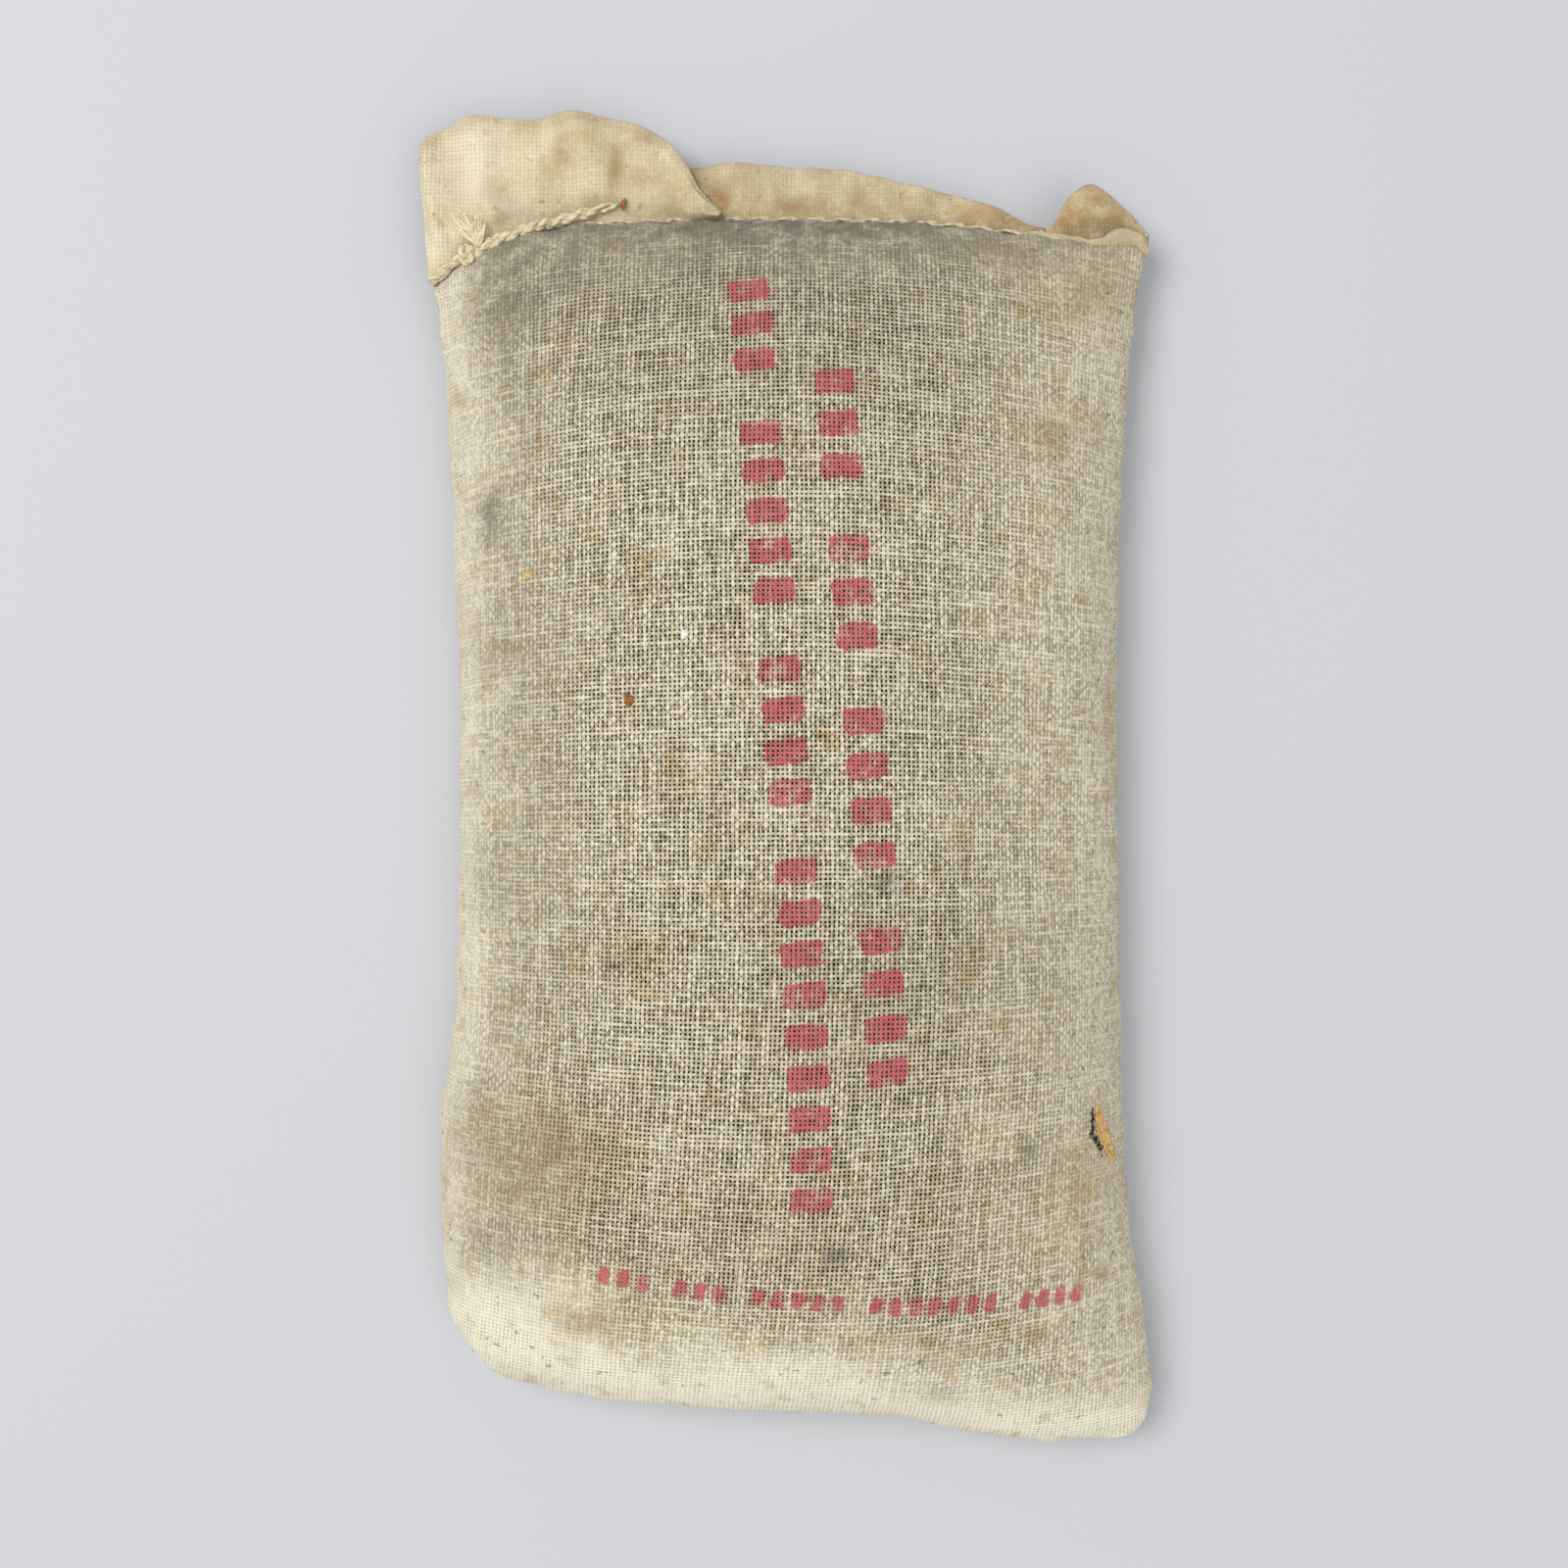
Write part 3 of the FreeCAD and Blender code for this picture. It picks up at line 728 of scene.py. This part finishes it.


# ---------------------------------------------------------------- the bag

# Marks on the bag: place, half width, half height and strength. Most are soil; the two widest grey
# marks darken the bag towards the closing row.
BROWN_MARKS = [(-47, -76, 15, 11, 0.7), (-31, -36, 8, 5, 0.55), (55, 72, 7, 5, 0.6),
               (45, 111, 9, 4, 0.6), (-22, 0, 6, 5, 0.4), (-42, -112, 8, 4, 0.7),
               (66.5, -104, 1.7, 1.4, 1.6), (52, -115, 3.5, 1.2, 1.0), (20, -54, 34, 15, 0.2),
               (0, -92, 66, 17, 0.22), (14, 117, 12, 3, 0.7), (-22, 117, 9, 2.5, 0.6),
               (66, 106, 13, 12, 0.5), (62, -84, 7, 9, 0.4)]
GREY_MARKS = [(-62, 55, 2.5, 6, 0.7), (10, -96, 2.5, 2.5, 0.8), (20, -20.5, 3, 2, 0.7),
              (50, -76, 1.8, 1.8, 0.9), (33, -128, 4, 2.5, 0.7), (-56, 100, 14, 9, 0.25),
              (0, 124, 78, 18, 1.0), (0, 94, 66, 26, 0.25), (26, -40, 26, 14, 0.25)]


def oval_marks(x, y, marks):
    """Sum of soft oval marks, each strength exp(-(dx/w)2 - (dy/h)2)."""
    return sum(k * np.exp(-((x - cx) / w) ** 2 - ((y - cy) / h) ** 2) for cx, cy, w, h, k in marks)


def bag_masks(points, a, b):
    """pale: paler bands at the sides and the bottom. open: how far the weave gapes, most in the bag's
    middle and least near its seams. brown and grey: the oval marks, which also darken the bag towards
    the closing row, and a grey band inside the pale one at the left."""
    x, y = points[..., 0], points[..., 1]
    left = (1 + a) * SIDE_RUN + 5 * lumps(x, y, 30, 31)
    right = (1 - a) * SIDE_RUN + 5 * lumps(x, y, 26, 32)
    foot = (1 + b) * END_RUN + 6 * lumps(x, y, 26, 33) + 9 * smooth(x, 0, 60) - 16 * smooth(-x, 20, 62)
    head = (1 - b) * END_RUN + 4 * lumps(x, y, 30, 34)
    pale = np.maximum.reduce([0.6 * (1 - smooth(left, 14, 38)), 0.2 * (1 - smooth(right, 14, 40)),
                              1.35 * (1 - smooth(foot, 30, 66)), 0.3 * (1 - smooth(head, 2, 10))])
    gape = smooth(left, 22, 62) * smooth(right, 24, 66) * smooth(head, 20, 60) * smooth(foot, 40, 80)
    grey = oval_marks(x, y, GREY_MARKS) + 0.3 * np.exp(-((left - 38) / 13) ** 2)
    return {"pale": np.clip(pale, 0, 1.1), "open": gape,
            "brown": np.clip(oval_marks(x, y, BROWN_MARKS), 0, 1),
            "grey": np.clip(grey * (1 - 0.7 * pale), 0, 1)}


SLIT = [(64.5, -68.8), (64.4, -74.4), (66.1, -77.2), (67.2, -80.0)]


def tear_gap(points):
    """Distance from the torn slit, a bent line 1.2 mm wide at most that closes at its ends."""
    gap = np.full(points.shape[:2], BARE)
    for number, (start, end) in enumerate(zip(np.array(SLIT[:-1]), np.array(SLIT[1:]))):
        way = end - start
        share = np.clip(((points[..., :2] - start) @ way) / (way @ way), 0, 1)
        away = np.linalg.norm(points[..., :2] - start - share[..., None] * way, axis=2)
        gap = np.minimum(gap, away - 0.5 * np.sin(PI * (0.08 + 0.28 * (number + share))))
    return gap


def bag_side(name, top):
    points, a, b = bag_grid(top)
    cloth = cloth_coordinates(points)
    masks = bag_masks(points, a, b)
    if top:
        masks.update(ink=print_gap(cloth), tear=tear_gap(points))
    else:
        masks.update(ink=np.full(points.shape[:2], BARE), tear=np.full(points.shape[:2], BARE))
    moved = seam_gathers(points, a, b, top)
    piece = grid_mesh(name, moved, cloth, masks, flip=not top)
    finish_piece(piece, BAG_COTTON, "bag", "bag_cloth", "bag_cloth")
    return moved


front_points = bag_side("bag_front", True)
bag_side("bag_back", False)


def sand_body():
    """The sand: both sides of the bag's own shape, a cloth's thickness inside it."""
    halves = []
    for top in (True, False):
        points = bag_grid(top, 1.2, 60, 110)[0]
        halves.append(grid_mesh("sand_half", points, flip=not top))
    sand = joined("sand_body", halves)
    finish_piece(sand, SAND, "bag", "sand", "sand_fill")


sand_body()


# ---------------------------------------------------------------- the mouth

def mouth_layer(name, low, high, relief, masks, nodes, hem):
    """One layer of the loose mouth cloth: ruled between the closing row and its free edge, with
    folds that run up from the row, and a hem that rolls over as a half circle."""
    s, t = np.linspace(0, 1, 181), np.linspace(0, 1, 61)
    lo, hi = along(low, s), along(high, s)
    plan = lo[None] + t[:, None, None] * (hi - lo)[None]
    points = np.dstack([plan, SEAM_Z + relief(plan[..., 0], plan[..., 1], s[None, :], t[:, None])])
    out = (hi - lo) / (np.linalg.norm(hi - lo, axis=1, keepdims=True) + 1e-6)
    out = np.column_stack([out, np.zeros(len(s))])[None]
    turn = np.linspace(0, PI, 7)[1:, None, None]
    roll = points[-1:] + hem * np.sin(turn) * out - hem * (1 - np.cos(turn)) * np.array([0, 0, 1.0])
    under = roll[-1:] - np.array([2.0, 4.0])[:, None, None] * out
    points = np.concatenate([points, roll, under])
    piece = grid_mesh(name, points, points[..., :2], masks(points[..., 0], points[..., 1], len(t)))
    thicken(piece, "cloth_thickness", 0.0005)
    piece.data.materials.append(MOUTH_COTTON)
    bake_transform(piece)
    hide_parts(*nodes)
    return piece


FLAP_LOW = [(-76.9, 107.5), (-67.5, 113.0), (-59.6, 116.4), (-47, 118.8), (-34, 119.6), (-14.2, 120.2)]
FLAP_HIGH = [(-79.0, 133.0), (-76.2, 138.2), (-66, 142.2), (-56, 141.2), (-47.2, 142.6), (-34.5, 141),
             (-26.3, 137.4), (-22.0, 132.5), (-18.5, 126.0), (-13.8, 121.0)]


def flap_relief(x, y, s, t):
    """Folds that fan out from the knot, and soft upright ones, deepest a third of the way up."""
    turn, reach = np.arctan2(y - 110, x + 70), np.hypot(x + 70, y - 110)
    fan = 0.7 * np.sin(9 * turn + 0.6) * np.exp(-((reach - 12) / 11) ** 2)
    upright = 0.9 * waves(x + 0.35 * (y - 118), (21, 12, 38), 51) + 0.3 * lumps(x, y, 9, 55)
    lift = 1.2 + 2.2 * smooth(s, 0.75, 1.0) * (1 - smooth(t, 0.85, 1.0))
    free = smooth(t, 0.02, 0.35) * smooth(s, 0, 0.06)
    return 0.4 + lift * smooth(t, 0.0, 0.3) * smooth(s, 0, 0.04) + (fan + upright) * free


def flap_masks(x, y, rows):
    """The flap is palest at its left, with a grey shadow beside the tuft and along its free
    edge, and ochre streaks towards its right."""
    brown = oval_marks(x, y, [(-48, 136, 2.5, 6, 0.55), (-36.8, 130.6, 1.3, 7, 0.5),
                        (-31, 138, 4, 2.5, 0.55), (-30.5, 129.5, 3, 3, 0.5), (-42, 134, 9, 8, 0.2),
                        (-24, 124, 5, 5, 0.3), (-72, 124, 3, 8, 0.15)])
    grey = oval_marks(x, y, [(-61.5, 123.5, 2.5, 6, 0.5), (-57, 121, 6, 3, 0.4), (-44, 123.5, 11, 2.5, 0.4),
                       (-22, 121.8, 14, 2.5, 0.6), (-70, 112, 4, 4, 0.3)])
    edge = smooth(np.arange(len(x)) / rows, 0.86, 0.97)[:, None]
    pale = 0.35 + 0.4 * (1 - smooth(x, -74, -44)) + 0.25 * lumps(x, y, 12, 41)
    return {"pale": np.clip(pale, 0, 1), "open": np.clip(0.12 + 0.15 * lumps(x, y, 20, 42), 0, 1),
            "brown": np.clip(brown + 0.06 + 0.1 * lumps(x, y, 10, 43), 0, 1),
            "grey": grey + 0.3 * edge}


mouth_layer("mouth_front", FLAP_LOW, FLAP_HIGH, flap_relief, flap_masks,
                     ("collar_front", "flap_front"), 0.7)

BACK_LOW = [(-76.9, 107.5), (-67.5, 113.0), (-59.6, 116.4), (-47, 118.8), (-20, 120.1),
            (20, 120.0), (38, 118.9), (50, 117.6), (56.5, 117.3)]
BACK_HIGH = [(-78.6, 131.0), (-72, 137.5), (-60, 139.0), (-46, 139.5), (-34, 137.5), (-24, 132.0),
             (-17.5, 131.5), (-13, 132.6), (-3.7, 132), (12.2, 131), (24.4, 128.5), (37.9, 125.3),
             (44.9, 123.1), (49.6, 120.8), (52.9, 119.1), (56.5, 118.4)]


def strip_relief(x, y, s, t):
    """Low ripples, a little under the flap's layer."""
    ripple = 0.45 * waves(x, (30, 17, 8), 52) + 0.2 * lumps(x, y, 8, 56)
    return ripple * smooth(t, 0, 0.5) * smooth(s, 0, 0.05) - 0.6 * smooth(s, 0, 0.05)


def strip_masks(x, y, rows):
    """The low strip is tanner than the flap. Its brown and grey are darkest beside the flap's free
    edge, which overhangs it, and along the closing row: painted shadow in both places."""
    # Painted shadow: the first two brown marks lie beside the flap's overhanging free edge, the last
    # three along the closing row; the grey marks below do the same.
    brown = oval_marks(x, y, [(-18.8, 129, 2.8, 4, 1.0), (-15, 124, 3, 4, 1.0), (4, 124, 14, 3, 0.4),
                        (34, 121, 18, 3, 0.5), (52, 119, 7, 4, 0.6)])
    return {"pale": np.clip(0.25 + 0.2 * lumps(x, y, 12, 44), 0, 1), "open": np.full_like(x, 0.2),
            "brown": np.clip(0.2 + brown + 0.15 * lumps(x, y, 9, 45), 0, 1),
            "grey": 0.2 + oval_marks(x, y, [(-18.5, 128, 2.8, 5, 0.5), (0, 119.5, 60, 1.6, 0.4)])}


mouth_layer("mouth_back", BACK_LOW, BACK_HIGH, strip_relief, strip_masks,
                     ("collar_back", "flap_back"), 0.8)


# ---------------------------------------------------------------- the mouth's right corner

CORNER_LOW = [(55.6, 116.6), (61.2, 115.4), (67.7, 115.6), (71.6, 117.0), (74.8, 117.6), (78.4, 114.6)]
CORNER_HIGH = [(56.4, 118.4), (58.2, 119.8), (61.0, 124.7), (64.6, 127.5), (67.4, 127.0),
               (72.6, 123.0), (78.5, 117.4)]
CORNER_ROLL = [(54.5, 116.4), (60.0, 115.4), (66.0, 115.2), (71.0, 116.6), (75.0, 117.0),
               (78.2, 114.2)]


def folded_corner():
    """The corner's cloth, folded over towards the bag: a ruled patch that bulges as
    sin(pi s) sin(pi t)^0.5, over a soft roll of the cloth under it."""
    s, t = np.linspace(0, 1, 60), np.linspace(0, 1, 24)
    lo, hi = along(CORNER_LOW, s), along(CORNER_HIGH, s)
    plan = lo[None] + t[:, None, None] * (hi - lo)[None]
    swell = 2.4 * np.sin(PI * s)[None, :] * np.sin(PI * (0.12 + 0.76 * t))[:, None] ** 0.5
    crumple = 0.3 * lumps(plan[..., 0] * 2, plan[..., 1] * 2, 12, 61)
    plain = np.ones(swell.shape)
    # The corner's grey, strongest along the closing row, is painted shade in its fold.
    over = grid_mesh("corner_over", np.dstack([plan, SEAM_Z + 0.6 + swell + crumple]), plan, {
        "pale": 0.1 * plain, "open": 0 * plain, "grey": (1 - smooth(t, 0.2, 0.55))[:, None] * plain,
        "brown": 0.95 - 0.35 * smooth(t, 0.6, 1.0)[:, None] * plain})
    thicken(over, "cloth_thickness", 0.0006)
    share, turn = np.linspace(0, 1, 70), np.linspace(-0.35 * PI, 1.25 * PI, 20)
    line = along(CORNER_ROLL, share)
    thin = (0.5 + 1.3 * np.sin(PI * (0.1 + 0.8 * share)) ** 0.6)[:, None]
    plain = np.ones((len(share), len(turn)))
    bulge = np.dstack([line[:, 0, None] * plain, line[:, 1, None] - 1.5 * thin * np.cos(turn),
                       SEAM_Z + 0.9 + thin * np.sin(turn)])
    bulge[..., 2] += 0.22 * lumps(bulge[..., 0] * 2, bulge[..., 1] * 2, 9, 62)
    roll = grid_mesh("corner_roll", bulge, np.dstack([line[:, 0, None] * plain, 1.9 * turn * plain]), {
        "pale": 0.3 * plain, "open": 0 * plain, "grey": 0.3 * plain, "brown": 0.3 * plain}, flip=True)
    for piece in (over, roll):
        piece.data.materials.append(MOUTH_COTTON)
        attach(piece, "bag")
        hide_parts("collar_corner")


folded_corner()


# ---------------------------------------------------------------- threads of the closing row

def fibres(name, paths, radius):
    """Many thin fibres as one mesh: paths is fibre by point by three, and each point becomes a
    ring of six round the path, which thins to its tip."""
    count, steps = paths.shape[:2]
    heading = unit(np.gradient(paths, axis=1))
    side = unit(np.cross(heading, (0.0, 0.0, 1.0)))
    lift = np.cross(side, heading)
    turn = np.arange(6) * PI / 3
    thin = radius * (1 - 0.75 * np.linspace(0, 1, steps) ** 2)[None, :, None, None]
    rings = paths[:, :, None] + thin * (np.cos(turn)[None, None, :, None] * side[:, :, None]
                                        + np.sin(turn)[None, None, :, None] * lift[:, :, None])
    number = np.arange(count * steps * 6).reshape(count, steps, 6)
    around = np.roll(number, -1, axis=2)
    faces = np.stack([number[:, :-1], number[:, 1:], around[:, 1:], around[:, :-1]], -1).reshape(-1, 4)
    mesh = bpy.data.meshes.new(name)
    rings = rings.reshape(-1, 3)
    mesh.from_pydata((rings * MM).tolist(), [], faces.tolist())
    mesh.polygons.foreach_set("use_smooth", np.ones(len(faces), bool))
    layer = mesh.uv_layers.new(name="cloth")
    layer.uv.foreach_set("vector", (rings[faces.ravel(), :2] / DM).ravel())
    return placed(name, mesh)


def tuft():
    """The frayed end of the other thread: a fan of fibres that curl up from its root."""
    pick = np.random.default_rng(5)
    count, share = 90, np.linspace(0, 1, 9)
    spread = pick.uniform(0, 1, count)
    root = np.array([-65.8, 114.8, SEAM_Z + 2.0]) + pick.normal(0, 0.35, (count, 3)) * (1, 1, 0.5)
    tip = np.column_stack([-73.5 + 9.6 * spread, 120.6 + 1.8 * np.sin(PI * spread),
                           np.full(count, SEAM_Z + 3.4)])
    tip += pick.normal(0, 0.7, (count, 3)) * (1, 1.2, 0.5)
    reach = pick.uniform(0.55, 1.05, count)[:, None, None]
    bend = pick.normal(0, 0.6, (count, 1, 1)) * np.sin(PI * share)[None, :, None] * (1, 0.3, 0)
    arch = 1.1 * np.sin(PI * share)[None, :, None] * (0, 0, 1)
    paths = root[:, None] + (tip - root)[:, None] * reach * share[None, :, None] + bend + arch
    piece = fibres("frayed_tuft", paths, 0.15)
    finish_piece(piece, LOOSE_FIBRE, "bag", "cotton_thread", "frayed_thread_end")


def knot():
    """A trefoil: ((2 + cos 3a) cos 2a, (2 + cos 3a) sin 2a, 1.1 sin 3a)."""
    a = np.linspace(0, 2 * PI, 90)
    reach = 2 + np.cos(3 * a)
    line = np.column_stack([reach * np.cos(2 * a), reach * np.sin(2 * a), 1.1 * np.sin(3 * a)])
    line = line * 0.62 + (-68.0, 112.6, SEAM_Z + 2.6)
    piece = tube("thread_knot", line, 0.72, 12)
    finish_piece(piece, COTTON_THREAD, "bag", "cotton_thread", "closing_thread_knot")


def row_line(count, out):
    """The closing row as a line of points, moved out from the bag, with each one's run and its
    way out."""
    line = along(CLOSING_ROW, np.linspace(0, 1, count))
    heading = unit(np.gradient(line, axis=0))
    outward = np.column_stack([-heading[:, 1], heading[:, 0]])
    line = line + out * outward
    return line, runs(line), outward


def closing_threads():
    """The needle thread arches over each stitch as |sin|^0.6 and dips into its holes, with two
    more plies twisted along its first part. The looper thread runs under the row as two
    strands that cross at every stitch, like a chain."""
    line, run, outward = row_line(ROW_STEPS, 0.35)
    beat = PI * run / STITCH
    rise = SEAM_Z + 0.25 + 0.75 * np.abs(np.sin(beat)) ** 0.6
    needle = np.column_stack([line + 0.25 * np.sin(2 * beat)[:, None] * outward, rise])
    parts = [tube("needle", needle, 0.34 + 0.06 * np.sin(run * 2.1), 8)]
    start, start_run = row_line(ROW_STEPS, 0.6)[:2]
    first = start_run < PLIES_END
    turn, girth = start_run[first] * 0.9, 0.62 - 0.3 * smooth(start_run[first], 14, PLIES_END)
    for way in (0.5, -0.5):
        ply = np.column_stack([start[first] + way * np.cos(turn)[:, None] * outward[first],
                               SEAM_Z + 1.3 + way * np.sin(turn)])
        parts.append(tube("ply", ply, girth, 10))
    piece = joined("needle_thread", parts)
    finish_piece(piece, COTTON_THREAD, "bag", "cotton_thread", "closing_needle_thread")
    chain = []
    for way in (1, -1):
        strand = np.column_stack([line + way * 0.8 * np.sin(beat)[:, None] * outward,
                                  SEAM_Z - 0.9 - 0.35 * np.cos(2 * beat)])
        chain.append(tube("strand", strand, 0.4, 8))
    piece = joined("looper_thread", chain)
    finish_piece(piece, COTTON_THREAD, "bag", "cotton_thread", "closing_looper_thread")


tuft()
knot()
closing_threads()


# ---------------------------------------------------------------- tear, its lip and the chips

def height_on_bag(x, y):
    """Height of the bag's top at places in plan, from the nearest grid point."""
    flat = front_points.reshape(-1, 3)
    flat = flat[flat[:, 2] > SEAM_Z + 1]
    places = np.stack([np.ravel(x), np.ravel(y)], -1)
    gap = ((places[:, None] - flat[None, :, :2]) ** 2).sum(-1)
    return flat[gap.argmin(1), 2].reshape(np.shape(x))


LIP_LINE = [(65.6, -68.8), (66.6, -72.9), (67.7, -76.3), (69.0, -79.2), (69.7, -81.3)]


def dry_lip():
    """The tear's stiff, curled edge: a leaf-shaped strip of dry fibre whose bag side stands up."""
    share, way = np.linspace(0, 1, 60), np.linspace(-1, 1, 11)
    line = along(LIP_LINE, share)
    wide = 1.25 * np.sin(PI * (0.06 + 0.9 * share)) ** 0.8
    wide = wide * (1 + 0.14 * waves(share * 12, (2.3, 1.1), 71))
    x = line[:, 0, None] + wide[:, None] * way[None]
    y = line[:, 1, None] + 0.25 * wide[:, None] * way[None]
    z = height_on_bag(line[:, 0], line[:, 1])[:, None] - 1.05 * wide[:, None] * way[None]
    ridge = 0.1 * np.cos(9 * way)[None] * np.sin(PI * share)[:, None]
    crimp = 0.1 * waves(share * 12, (1.9, 0.8), 72)[:, None]
    curl = 0.3 + 0.45 * np.clip(-way, 0, 1)[None] ** 1.5 + ridge + crimp
    piece = grid_mesh("tear_lip_cloth", np.dstack([x, y, z + curl]))
    thicken(piece, "lip_thickness", 0.0003)
    finish_piece(piece, DRY_LIP, "bag", "dry_lip", "tear_lip")


def chip(name, x, y, size, stretch, turn, material, slot, lift=0.0, on_bag=True):
    """A crumb stuck in the weave: a sphere whose radius varies with three soft waves."""
    a, b = np.meshgrid(np.linspace(0, 2 * PI, 25), np.linspace(0, PI, 13))
    ball = np.dstack([np.cos(a) * np.sin(b), np.sin(a) * np.sin(b), np.cos(b)])
    rough = 1 + 0.16 * np.sin(3 * a + x) * np.sin(b) + 0.12 * np.cos(5 * b + y)
    ball = ball * rough[..., None] * (size / 2 * stretch, size / 2, size / 4)
    spin = np.array([[np.cos(turn), -np.sin(turn)], [np.sin(turn), np.cos(turn)]])
    flat = ball[..., :2] @ spin.T + (x, y)
    z = (height_on_bag(np.array([x]), np.array([y]))[0] if on_bag else SEAM_Z) + 0.15 + lift
    piece = grid_mesh(name, np.dstack([flat, ball[..., 2] + z]), flip=True)
    finish_piece(piece, material, "bag", slot)


dry_lip()
chip("tan_fleck", -52.8, 41.8, 1.6, 1.2, 0.4, DRY_LIP, "dry_lip")
chip("brown_fleck", -31.3, 15.7, 2.1, 1.2, 1.9, CHIP, "dry_lip")
chip("white_fleck", -20.1, 28.7, 1.3, 1.4, 1.2, PALE_CHIP, "cotton_thread")
chip("orange_fleck", -34.7, 123.4, 1.1, 2.2, 1.4, CHIP, "dry_lip", 2.4, False)


# ---------------------------------------------------------------- the seam allowances and seam threads, from the CAD parts with cotton materials

for node, material in (("side_seam_allowance", MOUTH_COTTON), ("bottom_seam_allowance", MOUTH_COTTON),
                       ("side_seam_thread", COTTON_THREAD), ("bottom_seam_thread", COTTON_THREAD)):
    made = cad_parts[node]
    made.data.materials.clear()
    made.data.materials.append(material)
